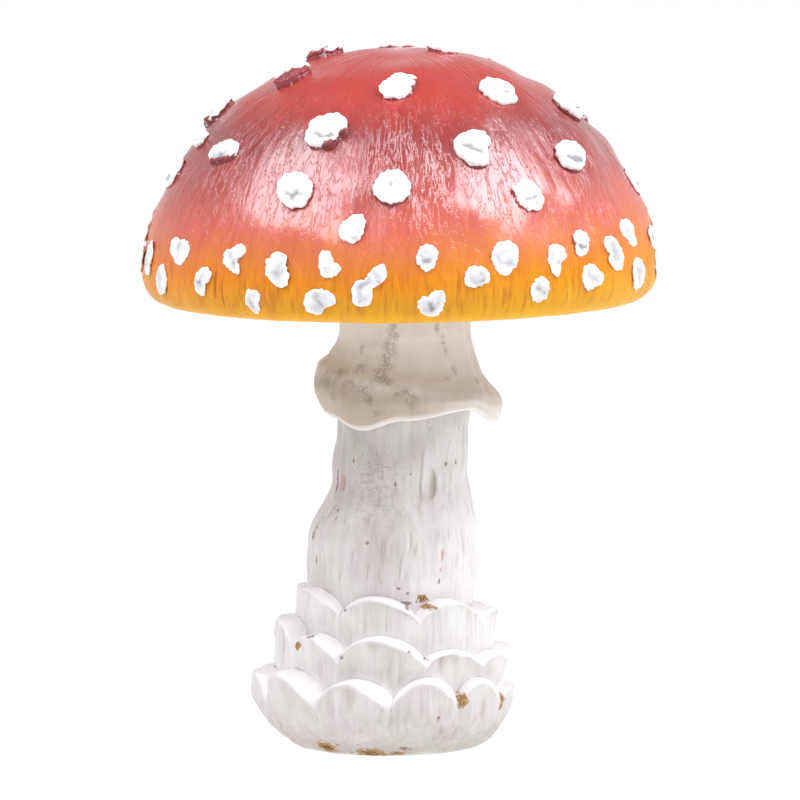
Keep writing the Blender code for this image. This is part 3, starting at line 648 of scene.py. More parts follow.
top_white = brushed_white("brushed_white_top_tier", "#ECE9E8", "#CFC6C2", 0.48, 0.4)
top_rim = scale_lip(TOP_SCALES, MIDDLE_LEDGE, TOP_NOTCH)
top_lip = top_rim[0]
bore = stem_radius(top_lip) + stem_shift(top_lip) * np.sin(np.radians(turns))
bore -= TOP_SHIFT * np.sin(np.radians(turns))
tier("scale_ring_top_painted", "scale_ring_top", top_rim, middle_lip,
     (TOP_SEAT, TOP_BOTTOM, TOP_FLARE, TOP_SHIFT, TOP_LIP_SHIFT, bore - PAINTED_JOINT),
     rings(turns, (stem_radius(top_lip) + CLEARANCE, top_lip - 1.0, stem_shift(top_lip)),
           (stem_radius(TOP_BOTTOM) + CLEARANCE, TOP_BOTTOM, stem_shift(TOP_BOTTOM))),
     TOP_CHIPS, TOP_SPECKS, top_white, 31)


# Stem
# One casting from its butt in the foot to its tenon in the cap, modelled like peeling bark
# with upright tool marks and brushed white; its left is darkened by a lilac wash and by
# painted shade.
NECK_RADIUS = 11.7
NECK_TOP = 97.2
TENON_RADIUS = 8.0
TENON_TOP = 115.0
BORE_RADIUS = 2.3
BORE_BOTTOM = 101.6
STEM_COLUMNS = 400
FREE_BOTTOM = 30.0
FREE_TOP = 71.0
FREE_ROWS = 178
# The stem's radius as the widths of its marks were read
MARKED_RADIUS = 16.0
FLUTE_COUNT = 7
FLUTE_DEPTH = 0.3
# Swellings by hand: turn, height, rise, width in degrees, reach up the stem
STEM_SWELLINGS = (
    (-74, 45.5, 0.8, 34, 4.0), (78, 45.0, -1.2, 36, 7.0), (8, 56.0, 0.7, 26, 7.0),
    (150, 47.0, 1.1, 36, 6.0), (-140, 60.0, 0.8, 30, 8.0),
)
# Flakes of bark: turn and height of the middle, width, length, rise of the steep edge, and
# the side on which it falls off steeply, 1 towards +X at the front
STEM_FLAKES = (
    (27, 57.6, 3.4, 7.2, -0.7, 1), (24, 60.5, 3.4, 13.0, 0.35, -1), (15, 43.0, 6.0, 12.0, 0.55, -1),
    (-78, 46.4, 6.5, 9.0, 0.35, 1), (70, 49.4, 4.5, 6.5, 0.5, 1), (-30, 50.0, 9.0, 12.0, 0.2, 1),
    (50, 44.0, 6.0, 10.0, 0.3, 1), (-52, 66.0, 6.0, 9.0, 0.2, 1), (110, 52.0, 8.0, 13.0, 0.5, -1),
    (150, 62.0, 7.0, 10.0, 0.45, 1), (-165, 47.0, 8.0, 11.0, 0.5, -1),
    (-125, 57.0, 6.0, 9.0, 0.45, 1),
)
STEM_CHIPS = ((22, 33.6, 3.6, 2.4), (172, 38.0, 1.6, 2.6), (-136, 41.0, 1.2, 2.0))
STEM_SPECKS = (
    (-68.5, 57.4, 1.6, 7.4), (-54, 57.2, 1.0, 5.4), (-51.5, 51.6, 0.8, 1.1), (-49, 50.2, 0.8, 1.0),
    (-70.5, 46.4, 1.3, 7.6), (-63, 40.6, 1.0, 3.0), (-19, 45.5, 0.8, 1.3), (-3.5, 57.8, 1.1, 1.4),
    (-2.5, 60.0, 0.5, 0.7), (8.5, 60.0, 0.6, 0.7), (56, 69.2, 0.8, 1.5), (53.5, 61.8, 0.8, 1.8),
    (42, 61.7, 0.7, 1.4), (33.5, 36.9, 0.8, 2.0), (5, 35.9, 1.4, 0.7), (11, 34.9, 0.8, 1.0),
    (10, 32.7, 3.4, 1.2), (-44, 62.6, 0.7, 1.8), (140, 55.0, 1.0, 2.0), (-110, 50.0, 0.9, 1.6),
    (170, 66.0, 0.8, 1.4),
)
TERRACOTTA_STROKES = (
    (-58, 57.4, 4.6, 6.8), (-59, 51.6, 1.2, 3.4), (35, 42.8, 0.8, 3.6), (34, 39.6, 0.6, 2.0),
    (118, 60.0, 0.9, 5.0), (-150, 64.0, 0.8, 5.0),
)
# Upright marks of the modelling tool: turn, height, width and length of the ridges, which
# are painted white as painted highlights, and of the furrows, which hold the wash and
# painted shade
STEM_RIDGES = ((20.5, 60.0, 1.2, 12.0), (8.0, 46.0, 1.1, 5.2), (6.5, 40.2, 1.1, 5.4))
STEM_FURROWS = (
    (18.3, 60.0, 0.7, 12.0), (10.2, 46.0, 0.8, 5.6), (4.7, 40.4, 0.7, 5.6), (25, 69.4, 0.6, 1.8),
    (-9, 44.6, 0.5, 4.0), (-17, 39.6, 0.5, 4.8), (-30, 42.4, 0.5, 4.6), (14, 44.0, 0.5, 3.6),
    (-22, 50.4, 0.5, 3.0), (-38, 38.0, 0.5, 4.0), (40, 47.0, 0.5, 4.0), (48, 41.0, 0.5, 5.0),
)


def flaked(turn, height, radius, flakes):
    """Relief of bark flakes: each rises across its width and then falls off in a step."""
    total = np.zeros(np.broadcast(turn, height).shape)
    for middle, level, width, length, rise, side in flakes:
        aside = np.radians(off_turn(turn, middle)) * radius * side * 2 / width
        above = (height - level) * 2 / length
        leaf = np.sqrt(np.clip(1 - above * above, 0, 1))
        climb = np.clip((aside + 1) / 2, 0, 1) ** 1.5
        drop = 1 - ease(0.86 * leaf, 1.04 * leaf + 0.02, aside)
        total += rise * climb * drop * leaf ** 0.7
    return total


def on_rows(grid, rows, values):
    """A field for the grid: the values on these rows and 0 on the others."""
    whole = np.zeros(grid.shape[:2] + values.shape[2:])
    whole[rows] = values
    return whole


stem_turns = even_turns(STEM_COLUMNS)
levels = np.linspace(FREE_BOTTOM, SHOULDER_HEIGHT, FREE_ROWS)[:, None]
barrel = stem_radius(levels)
free = plateau(BELLY_BOTTOM, BELLY_BOTTOM + 4, FREE_TOP, SHOULDER_HEIGHT, levels)
relief = FLUTE_DEPTH * np.cos(np.radians(FLUTE_COUNT * stem_turns))
for middle, level, rise, wide, reach in STEM_SWELLINGS:
    aside = off_turn(stem_turns, middle) / wide
    relief = relief + rise * np.exp(-aside ** 2 - ((levels - level) / reach) ** 2)
smooth = around(stem_turns, barrel, levels)
flakes = flaked(stem_turns, levels, barrel, STEM_FLAKES)
ridges = np.clip(2 * dabs(stem_turns, levels, barrel, STEM_RIDGES), 0, 1)
furrows = np.clip(2 * dabs(stem_turns, levels, barrel, STEM_FURROWS), 0, 1)
brushing = grain(drawn_out(smooth, 14), 1.5, 41)
ropes = grain(drawn_out(smooth, 6), 4.5, 42)
relief = relief * ease(BELLY_BOTTOM, BELLY_TOP, levels) + free * (
    flakes + 0.03 * brushing + 0.06 * ropes + 0.22 * grain(smooth, 8, 43)
    + 0.12 * ridges - 0.12 * furrows)
given = rings(stem_turns, (BUTT_RADIUS * 0.1, SOCKET_FLOOR + CLEARANCE, STEM_SHIFT),
              (BUTT_RADIUS, SOCKET_FLOOR + CLEARANCE, STEM_SHIFT))
first_free = len(given)
given += list(around(stem_turns, barrel + relief, levels, stem_shift(levels)))
for radius, height in (
        (NECK_RADIUS, SHOULDER_HEIGHT), (NECK_RADIUS, NECK_TOP), (TENON_RADIUS, NECK_TOP),
        (TENON_RADIUS, TENON_TOP), (BORE_RADIUS, TENON_TOP), (BORE_RADIUS, BORE_BOTTOM)):
    given.append(around(stem_turns, radius, height, stem_shift(height)))
grid, station = between(given, 3.0, 1)
shown = ((station >= first_free) & (station < first_free + FREE_ROWS))[:, 0]
# Hollow: the left side darkened by a lilac wash and painted shade, the front darker below the waist,
# painted shade high up under the skirt and in the flakes' hollows, wash led by the brush grain, and
# wash and painted shade in the furrows
left_wash_and_shade = 0.26 * hill(off_turn(stem_turns, -52), 55)
darker_front = 0.24 * hill(off_turn(stem_turns, -10), 20)
hollow = np.clip(
    left_wash_and_shade + darker_front * (1 - ease(46, 58, levels)) + 0.1 * ease(48, 62, levels)
    + 0.1 * free * (0.3 - brushing) * (0.6 - 0.4 * ropes)
    + 1.5 * np.clip(-flakes, 0, 1) + 0.4 * furrows, 0, 1)
patch = np.exp(-(off_turn(stem_turns, -24) / 22) ** 2 - ((levels - 58) / 8) ** 2)
height = grid[..., 2]
turn_here = stem_turns[None, :]
stem = casting(
    "stem_painted", grid,
    hollow=on_rows(grid, shown, hollow),
    # The ridges are painted white as painted highlights
    lip=on_rows(grid, shown, 0.8 * ridges),
    canvas=on_rows(grid, shown, patch),
    chips=dabs(turn_here, height, MARKED_RADIUS, STEM_CHIPS),
    specks=dabs(turn_here, height, MARKED_RADIUS, STEM_SPECKS),
    strokes=dabs(turn_here, height, MARKED_RADIUS, TERRACOTTA_STROKES),
)
stem_white = brushed_white("brushed_white_stem", "#F0EDEE", "#BBB0A9", 0.42, 0.4, 0.6)
dressed(stem, stem_white, "stem_resin", "stem")

# Terracotta from the brush that painted the next piece, dragged on in thin dry strokes
shader = stem_white.node_tree.nodes["Principled BSDF"]
painted = shader.inputs["Base Color"].links[0].from_socket
place = points(stem_white)
hairs = stretched(place, (1, 1, 0.2))
dry = math("MULTIPLY_ADD", noise(hairs, 0.6, 3, 0.7), 2.4, -1.25)
stroke = spread(math("ADD", field(stem_white, "strokes"), dry), 0.1, 0.5, 0, 0.75)
painted = mixed(stroke, painted, "#C9968A")

# The clay was pressed with a coarse canvas here: broken threads, the wefts the longer ones
weft = noise(stretched(place, (0.2, 0.2, 1.0)), 0.45, 3)
warp = noise(stretched(place, (1.0, 1.0, 0.3)), 0.45, 3)
threads = spread(math("MAXIMUM", weft, warp), 0.56, 0.68, 0, 0.75)
threads = math("MULTIPLY", threads, field(stem_white, "canvas"))
painted = mixed(threads, painted, "#A08F87")
connect(shader, {"Base Color": painted})


# Skirt
# The drooping ring of the toadstool, cast with a tube that slips over the stem's neck. It
# is painted cream brown, scratched back in places, with a white line along its hem.
# Folds: turn, rise of the widest part over the stem's shoulder, reach beyond the tube, drop
# of the hem below the shoulder, room between hem and stem
SKIRT_FOLDS = (
    (-90, 6.8, 5.6, 3.7, 0.3), (-58, 5.8, 5.6, 4.6, 1.2), (-30, 4.6, 5.6, 6.4, 2.2),
    (0, 3.5, 5.6, 4.0, 2.9), (45, 1.8, 6.2, 2.2, 3.5), (78, 0.2, 7.0, 5.8, 4.2),
    (98, 0.2, 7.2, 5.0, 4.0), (140, 1.5, 5.8, 3.0, 2.9), (215, 4.0, 5.4, 4.0, 1.7),
)
SKIRT_TUBE = 14.0
SKIRT_FLARE_RISE = 12.5
SKIRT_WALL = 1.6
SKIRT_FOLD_WALL = 2.3
SKIRT_FLARE = ((0.12, 0.34), (0.36, 0.66), (0.86, 1.0))
SKIRT_FALL = ((1.0, 0.42), (0.55, 0.8))
SKIRT_SPACING = 0.42
SKIRT_COLUMNS = 420
SCRATCHED_RADIUS = 17.0
# Broken brown scratches: turn, height, width, length
SKIRT_SCRATCHES = (
    (-10, 90.4, 4.0, 5.0), (-13, 87.0, 3.4, 4.6), (-15, 84.4, 2.8, 4.0), (-18, 81.4, 2.8, 4.0),
    (-14, 80.4, 2.2, 2.0), (-10, 80.2, 1.8, 1.8), (-22, 76.4, 2.8, 2.6), (-27, 78.6, 3.6, 3.0),
    (-34, 82.6, 3.6, 2.6), (-40, 79.0, 3.0, 2.4), (-48, 81.4, 3.0, 2.4), (-60, 79.4, 4.2, 3.0),
    (-52, 76.4, 2.4, 2.0), (1, 78.2, 2.0, 2.2), (5, 76.2, 2.2, 3.0), (-4, 77.4, 1.6, 1.4),
    (29, 91.0, 1.3, 3.2), (35, 88.4, 1.3, 3.0), (37, 86.0, 1.6, 2.4), (42, 82.0, 2.2, 2.0),
    (32, 80.4, 1.6, 1.4), (62, 79.0, 1.4, 1.2), (-16, 73.4, 2.6, 1.4), (-40, 86.4, 1.4, 2.0),
    (130, 86.0, 3.0, 6.0), (175, 80.0, 4.0, 4.0), (-130, 84.0, 3.0, 6.0), (100, 80.0, 2.6, 2.6),
    (205, 88.0, 2.4, 4.0), (150, 77.0, 2.4, 2.0),
)


def folds_at(turn):
    """Rise, reach, drop and room of the skirt at each turn, eased by a half cosine."""
    table = np.array(SKIRT_FOLDS, dtype=float)
    index, share = looked_up(table[:, 0], turn)
    smooth = (0.5 - 0.5 * np.cos(np.pi * share))[:, None]
    return blend(table[index, 1:], table[(index + 1) % len(table), 1:], smooth).T


skirt_turns = even_turns(SKIRT_COLUMNS)
rise, gain, drop, room = folds_at(skirt_turns)
reach = SKIRT_TUBE + gain
neck_bore = NECK_RADIUS + CLEARANCE
seat = SHOULDER_HEIGHT + CLEARANCE
flare = SHOULDER_HEIGHT + SKIRT_FLARE_RISE
widest = SHOULDER_HEIGHT + rise
hem = SHOULDER_HEIGHT - drop
inside = stem_radius(hem) + CLEARANCE + room
outside = inside + SKIRT_WALL
section = [(neck_bore, NECK_TOP), (SKIRT_TUBE, NECK_TOP), (SKIRT_TUBE, flare)]
for gained, way in SKIRT_FLARE:
    section.append((SKIRT_TUBE + gain * gained, blend(flare, widest, way)))
for kept, way in SKIRT_FALL:
    section.append((blend(outside, reach, kept), blend(widest, hem, way)))
section += [
    (outside, hem + SKIRT_WALL / 4), (outside - SKIRT_WALL / 2, hem - 0.2),
    (inside, hem + SKIRT_WALL / 4),
    (np.maximum(reach - SKIRT_FOLD_WALL, SHOULDER_RADIUS + SKIRT_WALL), seat - SKIRT_WALL / 2),
    (SHOULDER_RADIUS + SKIRT_WALL / 2, seat), (neck_bore, seat),
]
given = [around(skirt_turns, radius, height, stem_shift(height)) for radius, height in section]
grid, station = between(given, SKIRT_SPACING, 5, joined=True)
outer_end = 3 + len(SKIRT_FLARE) + len(SKIRT_FALL)
outer = plateau(1.2, 2.0, outer_end - 0.4, outer_end + 0.6, station)
height = grid[..., 2]
above_hem = height - hem
bead = hill(above_hem - 0.6, 0.62) * ease(outer_end - 2.5, outer_end - 1.5, station)
bead *= 1 - ease(outer_end + 1.4, outer_end + 2.4, station)
flows = grain(drawn_out(grid, 3), 5.5, 51)
relief = outer * (0.2 * flows + 0.05 * grain(drawn_out(grid, 8), 1.6, 52)) + 0.38 * bead
# The shade field is painted shade and painted light: darker low on the left lobe and where the hem
# tucks under, lighter in a band above the tuck below the cap and in the bay on the right, with random
# tone from the flows
lobe = hill(off_turn(skirt_turns, -52), 44)
tuck = plateau(1.0, 1.8, 3 + 4 * lobe, 7 + 5 * lobe, above_hem)
tuck *= 0.54 - 0.44 * hill(off_turn(skirt_turns, 66), 32)
painted_light_band = plateau(5.5 + 5 * lobe, 8 + 5 * lobe, 15, 19, above_hem)
bay = hill(off_turn(skirt_turns, 52), 38)
skirt = casting(
    "skirt_collar_painted", swollen(grid, relief, stem_shift(height)), joined=True,
    hem_line=np.clip(bead * 1.5, 0, 1),
    shade=outer * (0.1 * lobe * (1 - ease(72, 84, height)) + 0.1 * (1 - flows) / 2
                   + tuck - 0.44 * painted_light_band - 0.3 * bay * (1 - ease(79, 88, height))),
    scratches=dabs(skirt_turns[None, :], height, SCRATCHED_RADIUS, SKIRT_SCRATCHES),
)

skirt_cream, shader = blank("brushed_cream_skirt")
place = points(skirt_cream)
upright = stretched(place, (1, 1, 0.16))
lines = noise(upright, 1.2, 4, 0.6)
clouds = noise(place, 9, 4, 0.55)
flecks = noise(place, 1.9, 6, 0.8)
shade = math("MULTIPLY_ADD", clouds, 0.5, field(skirt_cream, "shade"))
shade = math("MULTIPLY_ADD", lines, 0.3, shade)
paint = ramp(shade, (0.25, "#F4EEE6"), (1.0, "#CCBBA8"), (0.5, "#EBE2D7"), (0.75, "#DDCFC0"))
# Where two scraper marks meet, the brown ground shows as thin rings: the places where the
# flecks' noise passes through its middle
ragged = math("MULTIPLY_ADD", noise(place, 3.2, 5, 0.7), 3.2, -1.6)
inside = spread(math("ADD", field(skirt_cream, "scratches"), ragged), -0.35, 0.55)
ring = spread(math("ABSOLUTE", math("ADD", flecks, -0.5)), 0.005, 0.045, 0.66, 0.05)
torn = math("MULTIPLY", ring, inside)
paint = mixed(torn, paint, "#8A7260")
line = spread(field(skirt_cream, "hem_line"), 0.35, 0.8, 0, 0.9)
paint = mixed(line, paint, "#EFEAE4")
rough = spread(lines, 0, 1, 0.34, 0.52)
height = math("MULTIPLY_ADD", torn, -0.5, lines)
relief = bump(height, 0.45, 0.18)
connect(shader, {"Base Color": paint, "Roughness": rough, "Normal": relief})
dressed(skirt, skirt_cream, "skirt_resin", "skirt_collar")


# Gill disc
# The underside of the cap, a cast plate with 48 gills out to the rim and a short one
# between each two, painted cream with a brown wash in the gaps.
CAP_SHIFT = 2.5
CAP_RADIUS = 55.0
CAP_LEAN = 0.01
HUB_BOTTOM = 97.5
HUB_RADIUS = 15.0
GILL_TOP = 101.2
GILL_RADIUS = 47.3
GILL_COUNT = 48
GILL_DEPTH = 1.9
GILL_ROWS = 34
GILL_COLUMNS = 1152


def leaning(grid):
    """The grid raised or lowered by the cap's lean, which grows with the square of the reach."""
    across = grid[..., 0] - CAP_SHIFT
    reach = np.hypot(across, grid[..., 1]) / CAP_RADIUS
    leaned = grid.copy()
    leaned[..., 2] += CAP_LEAN * across * reach ** 2
    return leaned


gill_turns = even_turns(GILL_COLUMNS)
neck = stem_shift(NECK_TOP)
hole = TENON_RADIUS + CLEARANCE
reach = np.linspace(0, 1, GILL_ROWS)[:, None]
wave = np.abs(np.sin(np.radians(gill_turns * GILL_COUNT / 2)))
short = np.abs(np.cos(np.radians(gill_turns * GILL_COUNT / 2)))
gap = wave ** 0.55 * (1 - ease(0.38, 0.5, reach) * np.clip(1 - 3.2 * short, 0, 1) * 0.9)
deep = blend(0.5, GILL_DEPTH, ease(0, 0.6, reach)) * ease(0.0, 0.06, reach)
deep = deep * (1 - 0.5 * ease(0.93, 1.0, reach))
ribs = around(gill_turns, blend(HUB_RADIUS, GILL_RADIUS, reach),
              HUB_BOTTOM + 0.6 * ease(0, 0.05, reach) + deep * gap, blend(neck, CAP_SHIFT, reach))
given = rings(gill_turns, (hole, HUB_BOTTOM, neck), (HUB_RADIUS - 1, HUB_BOTTOM, neck))
given += [*ribs, *rings(gill_turns, (GILL_RADIUS, GILL_TOP, CAP_SHIFT), (hole, GILL_TOP, neck))]
grid, station = between(given, 4.0, 0, joined=True)
ribbed = ((station >= 2) & (station < 2 + len(ribs)))[:, 0]
gills = casting("gill_disc_painted", leaning(grid), joined=True, depth=on_rows(grid, ribbed, gap))
gill_cream, shader = blank("washed_cream_gills")
place = points(gill_cream)
clouds = noise(place, 6, 5, 0.6)
depth = math("MULTIPLY_ADD", clouds, 0.4, field(gill_cream, "depth"))
paint = ramp(depth, (0.15, "#F1E8D6"), (1.0, "#A88A5F"), (0.6, "#DCCBAA"))
rough = spread(clouds, 0, 1, 0.42, 0.62)
relief = bump(clouds, 0.4, 0.2)
connect(shader, {"Base Color": paint, "Roughness": rough, "Normal": relief})
dressed(gills, gill_cream, "gill_resin", "gill_disc")


# Dowel
# A drawn steel pin, glued into the stem's tenon and the cap. The casting keeps its own
# form; its steel shows fine lines along the pin from the drawing die.
dowel_steel, shader = blank("drawn_steel")
place = points(dowel_steel)
along = stretched(place, (1, 1, 0.05))
lines = noise(along, 0.4, 3)
paint = ramp(lines, (0.3, "#85888C"), (0.7, "#B4B6B8"))
rough = spread(lines, 0, 1, 0.25, 0.45)
connect(shader, {"Base Color": paint, "Roughness": rough, "Metallic": 1.0})
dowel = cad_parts["cap_dowel"]
dowel.data.materials.clear()
dowel.data.materials.append(dowel_steel)


# Cap
# A hollow-backed casting: a dome over a belt, a rim that rolls in, a recess for the gills.
# It is brushed from deep red at the crown to yellow at the rim and varnished, and the
# brush has left fine lines down the dome and dark grooves in the yellow.
CAP_RISE = 46.9
BELT_HEIGHT = 102.4
DOME_FULLNESS = 2.2
CROWN_FULLNESS = 1.7
ROLL_IN = 5.0
ROLL_DROP = 6.4
RIM_HEIGHT = 96.0
RECESS_RADIUS = 47.6
RECESS_CEILING = 101.5
DOWEL_TOP = 128.35
DOME_STEPS = 480
ROLL_STEPS = 60
# How far up and down the dome its slope at a place is measured
SLOPE_REACH = 0.6
CAP_COLUMNS = 512
CAP_SHARES = np.concatenate((np.linspace(0.004, 0.84, 118), np.linspace(0.846, 1.0, 42)))
# Broad brush grooves in the yellow: turn, share of the way to the rim, width, length
RIM_GROOVES = (
    (-53, 0.87, 0.7, 9.0), (-48, 0.9, 0.9, 11.0), (-45, 0.88, 0.6, 9.0), (-43, 0.9, 0.7, 13.0),
    (-37, 0.88, 0.5, 9.0), (-25, 0.88, 0.7, 11.0), (-22, 0.87, 0.6, 10.0), (-20, 0.9, 0.5, 8.0),
    (-11, 0.88, 0.6, 8.0), (-1, 0.87, 0.6, 9.0), (1, 0.88, 0.6, 11.0), (13, 0.86, 0.6, 10.0),
    (20, 0.87, 0.8, 11.0), (23.5, 0.905, 2.2, 10.0), (30, 0.86, 0.5, 8.0), (41, 0.9, 0.8, 9.0),
    (44, 0.86, 0.5, 9.0), (58, 0.91, 0.7, 8.0), (-66, 0.91, 0.6, 8.0), (73, 0.9, 0.6, 8.0),
    (98, 0.9, 0.8, 11.0), (110, 0.88, 0.6, 8.0), (121, 0.91, 0.7, 9.0), (139, 0.88, 0.8, 12.0),
    (163, 0.9, 0.8, 10.0), (172, 0.87, 0.5, 8.0), (188, 0.91, 0.7, 8.0), (207, 0.88, 0.9, 12.0),
    (231, 0.91, 0.7, 9.0), (243, 0.87, 0.5, 9.0), (252, 0.89, 0.8, 10.0),
)


def dome_curve():
    """Radius and height of the dome, and the way to each of its points from the crown.

    The dome is a quarter of a superellipse, and the rolled rim a quarter of an ellipse
    below it. The way is the sum of the steps between the points.
    """
    angle = np.pi / 2 * (1 - np.arange(DOME_STEPS + 1) / DOME_STEPS)
    radius = CAP_RADIUS * np.cos(angle) ** (2 / DOME_FULLNESS)
    height = BELT_HEIGHT + CAP_RISE * np.sin(angle) ** (2 / CROWN_FULLNESS)
    radius[0] = 0.0
    roll = np.pi / 2 * np.arange(1, ROLL_STEPS + 1) / ROLL_STEPS
    radius = np.append(radius, CAP_RADIUS - ROLL_IN * (1 - np.cos(roll)))
    height = np.append(height, BELT_HEIGHT - ROLL_DROP * np.sin(roll))
    steps = np.hypot(np.diff(radius), np.diff(height))
    way = np.append(0.0, np.cumsum(steps))
    return radius, height, way


dome_radius, dome_height, dome_way = dome_curve()
BELT_WAY = dome_way[DOME_STEPS]
RIM_WAY = dome_way[-1]


def on_dome(turn, share, rise):
    """Points that stand off the dome by a rise, square to it, at turns and shares."""
    way = np.clip(share, 0, 1) * RIM_WAY
    radius = np.interp(way, dome_way, dome_radius)
    height = np.interp(way, dome_way, dome_height)
    near = way - SLOPE_REACH
    far = way + SLOPE_REACH
    run = np.interp(far, dome_way, dome_radius) - np.interp(near, dome_way, dome_radius)
    fall = np.interp(near, dome_way, dome_height) - np.interp(far, dome_way, dome_height)
    length = np.hypot(run, fall)
    return leaning(around(turn, radius + rise * fall / length, height + rise * run / length,
                          CAP_SHIFT))


cap_turns = even_turns(CAP_COLUMNS)
share = CAP_SHARES[::-1, None]
# The strokes field runs round the cap by its turn and down it by its way, pressed together
# eight times, so that a pattern read from it is drawn out down the dome
down = share * RIM_WAY
strokes = around(cap_turns, CAP_RADIUS, down / 8)
crowded = ease(0.0, 0.16, share)
brushing = grain(strokes, 2.1, 61) * crowded
dents = grain(around(cap_turns, 0.9 * down, down), 13, 62)
yellow = ease(0.8, 0.9, share)
grooves = dabs(cap_turns[None, :], down, CAP_RADIUS,
               [(turn, way * RIM_WAY, width, length) for turn, way, width, length in RIM_GROOVES])
cut = np.clip(grooves + 0.3 * grain(strokes, 1.4, 63) - 0.1, 0, 0.6) / 0.6
cut = cut * (1 - ease(0.935, 0.965, share))
fine_cut = ease(0.6, 1.4, grain(strokes * (1, 1, 2), 1.6, 64)) * yellow
fine_cut = fine_cut * (1 - ease(0.93, 0.97, share))
dents = dents * crowded * (1 - 0.85 * ease(0.82, 0.94, share))
relief = 0.03 * brushing + 0.26 * dents - 0.2 * cut - 0.07 * fine_cut
dome = on_dome(cap_turns, share, relief)
socket = TENON_RADIUS + CLEARANCE
inner = [
    (BORE_RADIUS * 0.2, DOWEL_TOP + CLEARANCE, neck), (BORE_RADIUS, DOWEL_TOP + CLEARANCE, neck),
    (BORE_RADIUS, TENON_TOP + CLEARANCE, neck), (socket, TENON_TOP + CLEARANCE, neck),
    (socket, RECESS_CEILING, neck), (RECESS_RADIUS, RECESS_CEILING, CAP_SHIFT),
    (RECESS_RADIUS, RIM_HEIGHT + 1.2, CAP_SHIFT),
    (RECESS_RADIUS + 0.6, RIM_HEIGHT + 0.3, CAP_SHIFT),
]
given = [leaning(around(cap_turns, radius, height, shift)) for radius, height, shift in inner]
filled, _ = between(given, 6.0, 0)
grid = np.concatenate((filled, dome))
outside = slice(len(filled), None)
cut = np.clip(cut + 0.45 * yellow * (1 - ease(0.93, 0.97, share)), 0, 1)
# The bands of colour climb a little round the cap's right-hand side
climbing = share + 0.028 * np.sin(np.radians(cap_turns))
cap = casting(
    "cap_varnished", grid, way=on_rows(grid, outside, climbing),
    strokes=on_rows(grid, outside, strokes * MILLIMETRE), cut=on_rows(grid, outside, cut),
)

# Colours down the dome by the share of the way from crown to rim
# The band at half way is painted darker than the red around it, as painted shade that tones down where
# the softboxes light the dome most
CAP_COLOURS = (
    (0.0, "#BC4641"), (1.0, "#F6B80C"), (0.2, "#BA3E37"), (0.36, "#B83C32"),
    (0.5, "#943532"), (0.64, "#B34841"), (0.735, "#D2614E"), (0.79, "#D9723F"),
    (0.85, "#E08218"), (0.92, "#E49A08"), (0.965, "#EEAC08"),
)


def cap_paint(material, dirt):
    """The cap's colour at a place: its ramp, shaken by the brush lines, darkened by dirt."""
    way = field(material, "way")
    place = field(material, "strokes", "Vector")
    shake = math("MULTIPLY_ADD", noise(place, 5, 5, 0.65), 0.16, -0.08)
    way = math("ADD", way, shake)
    paint = ramp(way, *CAP_COLOURS)
    return mixed(dirt, paint, "#A65212")


# Acrylic paint under gloss varnish, laid on with a flat brush: broken bristle marks a
# millimetre wide in the varnish, which lies thick on the dome and runs out at the rim
cap_gloss, shader = blank("varnished_cap_paint")
place = field(cap_gloss, "strokes", "Vector")
short = stretched(place, (1, 1, 2.2))
lines = noise(short, 1.3, 3, 0.5, 0.5)
whole = points(cap_gloss)
pits = noise(whole, 1.5, 2, 0.6)
patches = spread(noise(whole, 11, 3), 0.38, 0.62, 0.15)
cut = field(cap_gloss, "cut")
hairs = spread(noise(place, 0.9, 3, 0.6), 0.5, 0.66)
dirt = math("MULTIPLY_ADD", cut, 1.6, -1.1, use_clamp=True)
dirt = math("MULTIPLY_ADD", hairs, cut, dirt, use_clamp=True)
paint = cap_paint(cap_gloss, dirt)
tone = spread(lines, 0.35, 0.65, 0.96, 1.05)
paint = tinted(paint, Value=tone)
rough = spread(pits, 0.3, 0.7, 0.42, 0.56)
# A web of fine furrows parts the bristle marks, where a wide noise passes its middle
web = math("ABSOLUTE", math("ADD", noise(short, 2.0, 4, 0.68, 0.8), -0.5))
web = spread(web, 0, 0.026, -0.62, 0.0)
height = math("MULTIPLY_ADD", pits, 0.28, math("MULTIPLY_ADD", lines, patches, web))
# The crown was brushed out smoother
way = field(cap_gloss, "way")
smooth = spread(way, 0.3, 0.48, 0.35)
height = math("MULTIPLY", height, smooth)
relief = bump(height, 0.28, 0.44)
varnish = spread(way, 0.68, 0.88, 1.0, 0.15)
connect(shader, {"Base Color": paint, "Roughness": rough, "Normal": relief,
                 "Coat Normal": relief, "Coat Weight": varnish, "Coat Roughness": 0.23,
                 "Coat IOR": 1.92, "Specular IOR Level": 0.16})
dressed(cap, cap_gloss, "cap_gloss", "cap")


